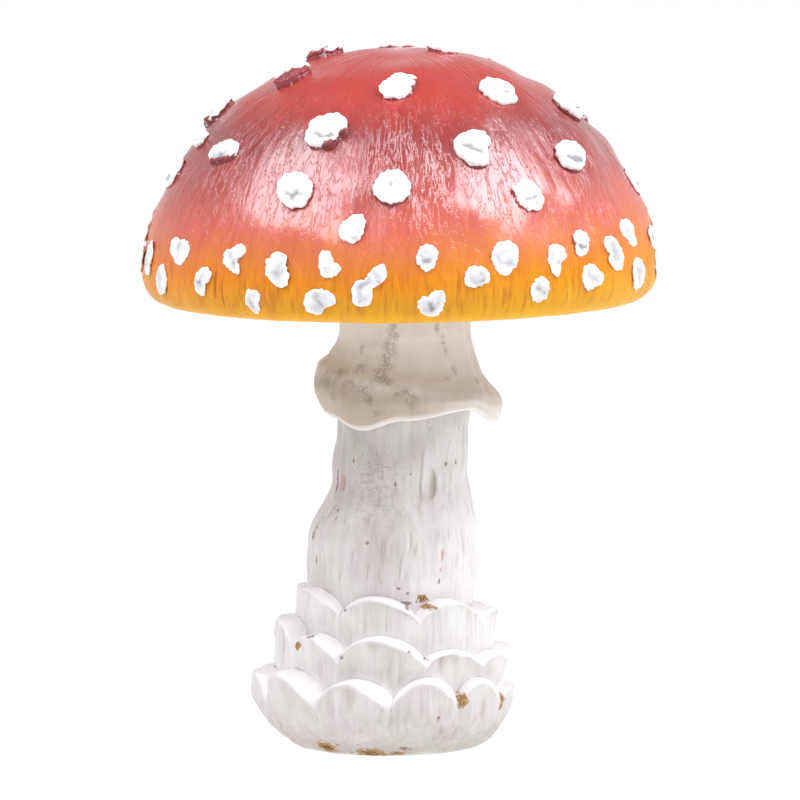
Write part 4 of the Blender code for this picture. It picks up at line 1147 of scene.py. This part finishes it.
# Warts
# Small castings glued on the dome before painting. Each is a ragged crust on a base that
# shows on one side of it; the crust is dabbed white and greyed with painted shade in its
# crease and dish, and the base keeps the cap's paint, darkened as painted shade.
# These are the ones on the photographed side.
# Turn, share of the way from crown to rim, then the crease in the crust: the angle that it
# runs at, its place from the middle as a share of the reach, and how deep it is and how
# much painted shade greys it; the angle of the bare side, and how high the bare base stands
# as a share of the whole; and the reach of the crust's edge in 12 directions, from the side
# towards +turn round by the rim's side
SEEN_WARTS = (
    (-100, 0.18, 0, 0.3, 0.5, 90, 0.75, 4.0, 4.0, 4.2, 3.9, 3.7, 4.2, 4.3, 3.9, 4.2, 3.6, 3.9, 4.2),
    (-65, 0.29, 20, 0.2, 0.4, 25, 0.52, 4.1, 4.2, 4.2, 4.4, 3.8, 4.2, 4.3, 3.9, 3.6, 4.4, 3.9, 4.0),
    (-94, 0.47, 0, 0.2, 0.3, 90, 0.45, 4.2, 3.9, 3.9, 4.1, 3.5, 4.0, 3.8, 3.6, 4.0, 4.2, 3.6, 4.0),
    (-1, 0.323, -15, 0.1, 0.2, 10, 0.42, 3.3, 3.0, 3.6, 4.0, 4.3, 4.2, 3.7, 3.2, 3.4, 4.4, 4.8, 4.5),
    (43, 0.355, 20, 0.15, 0.3, 60, 0.14, 4.2, 3.7, 4.5, 4.0, 4.4, 4.2, 3.9, 4.4, 4.2, 4.4, 4.2, 5.4),
    (-23, 0.484, 0, 0.3, 0.5, 40, 0.43, 4.2, 3.4, 4.7, 4.3, 4.8, 4.6, 3.9, 4.4, 4.3, 4.8, 4.7, 4.7),
    (-57, 0.563, -20, 0.3, 0.4, 70, 0.44, 4.4, 3.1, 2.4, 2.6, 3.8, 3.9, 4.0, 2.9, 2.5, 2.6, 3.2, 4.3),
    (21, 0.535, 35, 0.1, 0.9, 100, 0.14, 3.1, 3.1, 4.7, 4.6, 4.1, 3.7, 4.1, 4.1, 4.0, 4.3, 4.8, 5.0),
    (53, 0.576, 5, 0.25, 0.9, 80, 0.14, 4.7, 3.9, 3.5, 3.8, 3.7, 4.0, 4.5, 3.9, 3.6, 3.5, 3.8, 4.9),
    (-82, 0.645, 0, 0.3, 0.3, 90, 0.3, 3.3, 3.6, 3.6, 3.3, 3.7, 3.5, 3.5, 3.6, 3.4, 3.7, 3.7, 3.1),
    (-27, 0.648, -15, 0.25, 0.4, 0, 0.14, 3.9, 4.0, 4.6, 4.0, 3.7, 3.7, 4.0, 4.5, 4.3, 4.1, 3.7, 3.8),
    (-2, 0.637, 0, -0.3, 0.1, 90, 0.3, 3.8, 3.8, 3.8, 3.9, 3.8, 3.9, 3.8, 3.6, 3.9, 3.9, 4.1, 3.7),
    (33, 0.671, -10, 0.15, 0.5, 135, 0.28, 3.0, 3.5, 3.8, 3.4, 3.3, 2.9, 3.0, 3.6, 3.6, 3.6, 3.4, 2.8),
    (78, 0.44, -30, 0.2, 0.4, 90, 0.16, 4.2, 3.8, 3.9, 3.6, 4.0, 3.7, 4.2, 3.7, 3.9, 3.8, 4.0, 3.6),
    (87, 0.1, 0, 0.3, 0.4, 90, 0.3, 3.2, 3.5, 3.3, 3.0, 3.4, 3.1, 3.6, 3.1, 3.4, 3.1, 3.2, 3.6),
    (84, 0.674, 0, 0.3, 0.4, 90, 0.3, 3.8, 3.8, 3.2, 3.4, 3.2, 3.3, 3.4, 3.8, 3.2, 3.3, 3.5, 3.8),
    (-11, 0.742, -45, 0.5, 0.1, 90, 0.18, 2.3, 2.5, 2.7, 3.1, 2.9, 3.0, 2.6, 2.5, 2.4, 2.9, 3.6, 2.9),
    (-77, 0.545, 0, 0.2, 0.3, 90, 0.3, 2.4, 2.2, 1.9, 2.0, 2.1, 1.9, 2.3, 2.1, 2.0, 2.0, 2.1, 2.2),
    (-90, 0.79, 80, 0.0, 0.4, 180, 0.16, 2.7, 2.7, 3.3, 3.3, 3.3, 2.9, 2.9, 2.8, 3.0, 3.6, 3.1, 3.0),
    (-76, 0.855, 80, 0.1, 0.5, 180, 0.16, 2.4, 2.5, 3.5, 3.6, 3.2, 2.5, 2.4, 2.4, 3.3, 4.1, 3.3, 2.8),
    (-59, 0.818, 85, 0.0, 0.6, 0, 0.16, 3.8, 3.4, 3.3, 3.0, 2.4, 2.7, 3.7, 4.5, 2.8, 2.1, 2.7, 3.5),
    (-66, 0.893, 80, 0.2, 0.5, 180, 0.16, 2.6, 2.8, 3.1, 3.3, 3.1, 2.4, 2.4, 2.5, 2.8, 3.2, 2.8, 2.6),
    (-49, 0.88, 70, 0.1, 0.5, 180, 0.16, 2.2, 1.3, 2.3, 3.4, 3.1, 2.1, 2.2, 2.3, 2.1, 2.6, 3.2, 3.1),
    (-40, 0.823, 60, -0.1, 0.4, 0, 0.16, 0.9, 1.3, 3.8, 2.8, 2.2, 2.6, 2.6, 2.8, 2.2, 2.5, 3.6, 3.6),
    (-34, 0.92, 70, 0.2, 0.4, 0, 0.16, 1.4, 1.4, 2.5, 3.1, 1.7, 1.7, 1.8, 1.8, 2.5, 2.3, 2.5, 2.1),
    (-28, 0.845, 80, 0.0, 0.3, 180, 0.16, 2.2, 3.2, 4.0, 3.4, 2.4, 2.5, 2.6, 3.0, 3.4, 4.0, 3.4, 2.0),
    (-18, 0.914, 55, -0.1, 0.9, 0, 0.16, 3.5, 2.2, 2.0, 3.1, 3.4, 3.4, 2.9, 2.9, 2.6, 2.6, 2.6, 3.4),
    (-16, 0.83, 80, -0.2, 0.6, 180, 0.16, 2.4, 2.8, 2.7, 2.6, 2.5, 1.7, 1.9, 2.2, 3.4, 3.2, 1.5, 1.3),
    (-7, 0.877, -45, -0.3, 0.3, 180, 0.16, 1.6, 1.0, 1.6, 4.3, 4.8, 3.6, 2.9, 2.3, 1.3, 1.9, 5.6, 4.4),
    (6, 0.811, 15, 0.15, 0.9, 90, 0.16, 2.0, 1.9, 2.5, 3.0, 2.6, 2.2, 2.1, 2.0, 2.5, 2.8, 2.7, 2.5),
    (7, 0.922, 80, 0.0, 0.9, 0, 0.16, 2.2, 2.2, 2.9, 2.8, 2.8, 2.7, 2.8, 2.9, 1.7, 2.6, 3.4, 3.0),
    (17, 0.86, -10, 0.4, 0.4, 120, 0.16, 2.6, 2.6, 2.0, 2.1, 2.6, 2.8, 2.4, 2.5, 2.5, 2.2, 2.3, 2.5),
    (24, 0.817, 10, 0.35, 0.9, 90, 0.16, 2.6, 2.9, 3.0, 3.9, 3.8, 2.7, 3.1, 2.8, 3.4, 3.4, 3.6, 3.4),
    (32, 0.898, 60, 0.1, 0.5, 180, 0.16, 2.1, 2.1, 2.4, 2.7, 2.7, 2.2, 2.1, 2.0, 2.2, 2.7, 2.7, 2.4),
    (37, 0.828, 10, 0.2, 0.6, 180, 0.16, 2.4, 1.5, 1.5, 4.1, 3.0, 2.0, 2.2, 1.9, 2.8, 3.0, 3.0, 2.9),
    (45, 0.798, 10, 0.3, 0.8, 120, 0.16, 1.9, 2.1, 2.5, 2.5, 3.2, 2.1, 1.3, 2.1, 2.5, 3.0, 2.7, 2.6),
    (47, 0.881, 60, 0.1, 0.3, 150, 0.16, 3.5, 3.2, 2.2, 2.6, 2.9, 2.8, 2.6, 2.9, 3.1, 2.8, 2.6, 2.2),
    (56, 0.831, 70, 0.1, 0.3, 0, 0.16, 2.8, 2.9, 4.1, 3.8, 3.1, 2.9, 1.4, 3.7, 4.0, 3.8, 2.8, 2.4),
    (64, 0.788, 80, 0.1, 0.3, 90, 0.16, 3.0, 2.6, 3.8, 3.3, 2.0, 2.1, 3.0, 3.2, 3.0, 2.8, 2.9, 2.8),
    (66, 0.891, 80, 0.1, 0.3, 90, 0.16, 2.8, 2.6, 3.1, 3.4, 3.4, 2.6, 2.6, 2.9, 3.1, 3.6, 3.1, 2.7),
    (81, 0.82, 80, 0.1, 0.3, 90, 0.16, 2.8, 2.4, 2.4, 2.5, 2.5, 2.4, 2.5, 2.9, 2.4, 2.6, 2.8, 2.8),
    (83, 0.885, 80, 0.1, 0.3, 90, 0.16, 2.9, 2.4, 2.8, 3.0, 2.4, 2.6, 2.4, 2.8, 3.0, 2.8, 2.4, 2.4),
)
WART_RISE = 1.9
WART_RISE_AT_RIM = 0.75
WART_COLUMNS = 96
# Section of a wart, base and then crust: reach as a share of its edge's, and rise as a
# share of the base's own or of the crust's own
BASE_SECTION = ((0.1, -0.5), (0.99, -0.5), (0.96, 0.4), (0.91, 0.85), (0.92, 1.0))
CRUST_SECTION = (
    (0.985, 0.06), (1.0, 0.24), (0.975, 0.58), (0.9, 0.86), (0.76, 0.97), (0.5, 1.0),
    (0.25, 0.97), (0.03, 0.96),
)
# The rows of the section that belong to the base, and how far it slips out to its bare side
BASE_ROWS = 4
BASE_SLIP = 0.1


def beside(turn, share, across, down):
    """Turns and shares reached by going across and down the dome from a place on it.

    The dome is read as a ball whose quarter circle is the way from crown to belt.
    """
    ball = BELT_WAY / (np.pi / 2)
    fall = share * RIM_WAY / ball
    angle = np.radians(turn)
    outward = around(turn, np.sin(fall), np.cos(fall))
    sideways = np.array((np.cos(angle), np.sin(angle), 0))
    downward = around(turn, np.cos(fall), -np.sin(fall))
    moved = outward + sideways * (across / ball)[..., None] + downward * (down / ball)[..., None]
    moved /= np.linalg.norm(moved, axis=-1, keepdims=True)
    turns_here = np.degrees(np.arctan2(moved[..., 0], -moved[..., 1]))
    return turns_here, np.arccos(moved[..., 2]) * ball / RIM_WAY


def wart(turn, share, crease, reaches, seed):
    """Grid of a wart, the share of the way that it lies at, its neck and its grey hollows.

    Its edge runs through the reaches, eased into one another. Short waves of 5 to 16 lobes
    break it up, and a fine grain roughens it. The top is a plate with lumps. The crease is
    a bent groove across it, a bell curve of the distance from its line, and beyond it the
    plate lies a step lower. The grey it returns is painted shade, beside the crease where
    the plate steps down and in the dish of the small warts near the rim.
    """
    chance = np.random.default_rng(seed)
    angle = np.arange(WART_COLUMNS) * 2 * np.pi / WART_COLUMNS
    given = np.arange(len(reaches)) * 2 * np.pi / len(reaches)
    edge = np.interp(angle, given, reaches, period=2 * np.pi)
    for _ in range(5):
        edge = edge / 2 + (np.roll(edge, 1) + np.roll(edge, -1)) / 4
    lobes = np.arange(5, 17)
    strength = chance.uniform(0.1, 1.0, len(lobes)) * 0.052 / lobes ** 0.55
    phase = chance.uniform(0, 2 * np.pi, len(lobes))
    edge = edge * (1 + (strength * np.cos(np.outer(angle, lobes) + phase)).sum(axis=1))
    rim = np.stack((edge * np.cos(angle), edge * np.sin(angle), 0 * angle + 10 * seed), axis=-1)
    edge = edge + 0.1 * grain(rim[None], 0.9, seed + 200)[0]
    mean = edge.mean()

    runs, offset, crease_depth_and_shade, bare, shows = crease
    base = [(reach, shows * rise) for reach, rise in BASE_SECTION]
    plate = [(reach, shows + (1 - shows) * rise) for reach, rise in CRUST_SECTION]
    rows = np.array(base + plate)[:, None, :] * np.ones((1, WART_COLUMNS, 1))
    section, station = between(list(rows), 0.07, 1)
    scale = section[..., 0]
    level = section[..., 1]
    slip = BASE_SLIP * mean * ease(0.2, 0.9, scale)
    slip = slip * (1 - ease(BASE_ROWS - 1, BASE_ROWS + 0.5, station))
    across = edge * scale * np.cos(angle) + slip * np.cos(np.radians(bare))
    down = edge * scale * np.sin(angle) + slip * np.sin(np.radians(bare))

    top = blend(WART_RISE, WART_RISE_AT_RIM, ease(0.45, 0.85, share))
    crust = ease(BASE_ROWS, BASE_ROWS + 1.5, station)
    flat = np.stack((across, down, 0 * across + 10 * seed), axis=-1)
    bumps = grain(flat, 2.8, seed + 500)
    crumbs = grain(flat, 1.1, seed + 900)
    runs = np.radians(runs)
    along = (across * np.cos(runs) + down * np.sin(runs)) / mean
    off = (down * np.cos(runs) - across * np.sin(runs)) / mean - offset
    off = off + 0.3 * along ** 2 + 0.09 * grain(flat, 2.0, seed + 700)
    groove = hill(off, 0.13) * (1 - ease(0.55, 0.95, np.abs(along)))
    step = ease(-0.05, 0.25, off)
    # The base is broken stone: its top edge rises and falls as it goes round
    broken = 0.35 * grain(flat * (1, 1, 0), 2.4, seed + 300)
    level = level * (1 + broken * (1 - ease(0.7 * shows, 1.0, level)))
    rise = top * level + crust * top * (
        0.1 * bumps + 0.04 * crumbs - (0.1 + 0.2 * crease_depth_and_shade) * groove - 0.14 * step)
    # Painted shade beside the crease, where the plate steps down
    hollow = hill(off - 0.12, 0.22) * (1 - ease(0.35, 0.85, np.abs(along)))
    # The small warts near the rim are dished, and their middles are greyed as painted shade
    at_rim = ease(0.76, 0.83, share)
    dish = at_rim * (1 - scale ** 3) * np.clip(0.75 + 0.5 * bumps, 0, 1)
    rise = rise - crust * top * 0.3 * dish
    grey = (0.42 + 0.6 * crease_depth_and_shade) * (1 - 0.7 * at_rim) * hollow + 0.44 * dish
    grey = crust * np.clip(grey, 0, 1)
    turns_here, shares_here = beside(turn, share, across, down)
    grid = on_dome(turns_here, shares_here, rise)
    neck = 1 - ease(BASE_ROWS + 0.1, BASE_ROWS + 0.8, station)
    # The higher the base stands, the more of the crust has broken off on the bare side
    bare = np.radians(bare)
    towards = (across * np.cos(bare) + down * np.sin(bare)) / mean
    brink = 1.3 - 1.5 * ease(0.3, 0.6, shows)
    neck = np.maximum(neck, ease(brink - 0.2, brink + 0.2, towards))
    return grid, shares_here, neck, grey


wart_crust, shader = blank("dabbed_white_warts")
place = points(wart_crust)
clouds = noise(place, 1.8, 4, 0.6)
crumbs = noise(place, 0.7, 3, 0.6)
# The grey field is painted shade, and clouds add random grey to it
grey = math("MULTIPLY_ADD", clouds, 0.6, field(wart_crust, "grey"))
white = ramp(grey, (0.34, "#FAFAFA"), (1.0, "#979796"), (0.62, "#DDDDDE"), (0.85, "#C3C3C5"))
bare = field(wart_crust, "neck")
shaken = math("MULTIPLY_ADD", crumbs, 1.4, -0.7)
ragged = math("MULTIPLY_ADD", clouds, 1.8, -0.9)
# Dabs of white have caught on the bare stone as well
caught = math("MULTIPLY_ADD", bare, 1.0, 1.0)
ragged = math("MULTIPLY", ragged, caught)
bare = spread(math("ADD", math("ADD", bare, ragged), shaken), 0.35, 0.65)
dark = spread(clouds, 0, 1, 0.05, 0.45)
under = cap_paint(wart_crust, dark)
# The bare base is darkened by a third as painted shade under the crust
under = tinted(under, Hue=0.485, Saturation=0.9, Value=0.66)
paint = mixed(bare, white, under)
rough = spread(clouds, 0, 1, 0.34, 0.56)
relief = bump(crumbs, 0.5, 0.1)
connect(shader, {"Base Color": paint, "Roughness": rough, "Normal": relief})


def dabbed(number, turn, share, crease, reaches):
    """The piece that stands for one of the glued warts."""
    grid, way, neck_here, grey_here = wart(turn, share, crease, reaches, number)
    piece = casting(f"wart_{number:02d}_dabbed", grid, way=way, neck=neck_here, grey=grey_here,
                    strokes=grid * MILLIMETRE)
    dressed(piece, wart_crust, "wart_paint", f"wart_{number:02d}")


for number, (turn, share, *rest) in enumerate(SEEN_WARTS, start=1):
    dabbed(number, turn, share, rest[:5], rest[5:])


# Warts of the back
# The same castings glued on the side that the photo doesn't show. Below them two rows of
# small ones and a few large ones are cast in one with the cap, and dabbed white too.
# Turn, share of the way, width across and length down the dome
BACK_WARTS = (
    (180, 0.17, 8.8, 8.4), (130, 0.27, 8.6, 8.0), (224, 0.29, 8.8, 8.2), (108, 0.48, 8.2, 8.0),
    (143, 0.47, 9.0, 8.4), (178, 0.44, 8.8, 8.0), (212, 0.5, 8.8, 8.2), (240, 0.53, 8.0, 7.8),
    (160, 0.6, 8.4, 8.0), (195, 0.63, 8.4, 7.8),
)
# Share of the way to the rim, first and last turn, count, width and length
BACK_ROWS = (
    (0.66, 112, 246, 5, 7.4, 7.2), (0.785, 98, 255, 10, 4.8, 6.0), (0.875, 106, 270, 12, 4.8, 5.8),
)


def by_chance(width, length, chance):
    """A crease and 12 reaches round an ellipse, each out by up to a sixth."""
    around_it = np.arange(12) * np.pi / 6
    ellipse = 1 / np.hypot(np.cos(around_it) * 2 / width, np.sin(around_it) * 2 / length)
    crease = (chance.uniform(-40, 80), chance.uniform(0, 0.35), chance.uniform(0.2, 0.9),
              chance.uniform(0, 360), chance.uniform(0.14, 0.4))
    return crease, ellipse * chance.uniform(0.86, 1.14, 12)


FUSED_SEED = 100
chance = np.random.default_rng(7)
for number, (turn, share, width, length) in enumerate(BACK_WARTS, start=len(SEEN_WARTS) + 1):
    dabbed(number, turn, share, *by_chance(width, length, chance))
grids = []
ways = []
necks = []
greys = []
for share, first, last, count, width, length in BACK_ROWS:
    for turn in np.linspace(first, last, count):
        crease, reaches = by_chance(width, length, chance)
        lumps = wart(turn + chance.uniform(-1.5, 1.5), share + chance.uniform(-0.01, 0.01), crease,
                     reaches, FUSED_SEED + len(grids))
        for kept, value in zip((grids, ways, necks, greys), lumps):
            kept.append(value)
back = casting("back_rim_warts_dabbed", grids, way=ways, neck=necks, grey=greys,
               strokes=[grid * MILLIMETRE for grid in grids])
dressed(back, wart_crust, "wart_paint", "cap")


# Floor, lights and camera
# A milky white table lit from below stays white to the edge of the picture. Two large
# softboxes hang over it, left and right of the camera, in a room with white walls, the one
# behind brighter and the one on the left further off, and a darker ceiling. A long lens
# looks slightly down.
floor_mesh = bpy.data.meshes.new("studio_floor")
floor_mesh.from_pydata([(-6, -4, -5e-5), (6, -4, -5e-5), (6, 7, -5e-5), (-6, 7, -5e-5)], [],
                       [(0, 1, 2, 3)])
floor = bpy.data.objects.new("studio_floor", floor_mesh)
bpy.context.scene.collection.objects.link(floor)
floor_white, shader = blank("milky_white_table")
place = points(floor_white)
clouds = noise(place, 500 / 3)
paint = ramp(clouds, (0.3, "#6E6E6E"), (0.7, "#727272"))
connect(shader, {"Base Color": paint, "Roughness": 0.9, "Emission Color": "#FFFFFF",
                 "Emission Strength": 0.92})
floor_mesh.materials.append(floor_white)

room = bpy.data.worlds.new("white_room")
room.use_nodes = True
bpy.context.scene.world = room
looking = node(room.node_tree, "ShaderNodeTexCoord", {}).node.outputs["Generated"]
looking = node(room.node_tree, "ShaderNodeSeparateXYZ", {"Vector": looking}).node.outputs
walls = ramp(looking["Z"], (0.25, "#F2F3F5"), (0.62, "#807F82"))
behind = spread(looking["Y"], 0.1, 0.8, 0.54, 0.9)
left = spread(looking["X"], -0.65, -0.15, 0.61)
behind = math("MULTIPLY", behind, left)
connect(room.node_tree.nodes["Background"], {"Color": walls, "Strength": behind})

AIM = np.array((0.0025, 0.0, 0.08))
# Softboxes: name, turn and elevation in degrees, distance and sides in metres, watts
SOFTBOXES = (
    ("softbox_left", -63, 53, 1.1, 1.1, 0.66, 12.3),
    ("softbox_right", 71, 48.5, 1.1, 0.92, 0.62, 13.0),
)
# Daylight tubes, a little bluer than the table
DAYLIGHT = (0.965, 0.985, 1.05)
for name, turn, lift, distance, wide, deep, watts in SOFTBOXES:
    lamp = bpy.data.lights.new(name, "AREA")
    lamp.shape = "RECTANGLE"
    lamp.size = wide
    lamp.size_y = deep
    lamp.energy = watts
    lamp.color = DAYLIGHT
    light = bpy.data.objects.new(name, lamp)
    lift = np.radians(lift)
    light.location = AIM + around(turn, np.cos(lift), np.sin(lift)) * distance
    light.rotation_euler = (np.pi / 2 - lift, 0, np.radians(turn))
    bpy.context.scene.collection.objects.link(light)

lens = bpy.data.cameras.new("long_lens")
lens.lens = 509.2
lens.sensor_width = 36.0
lens.clip_end = 50.0
camera = bpy.data.objects.new("long_lens", lens)
camera.location = (0.0025, -2.4, 0.346)
camera.rotation_euler = (np.radians(90 - 6.462), 0, 0)
bpy.context.scene.collection.objects.link(camera)
bpy.context.scene.camera = camera
bpy.context.scene.view_settings.view_transform = "Standard"
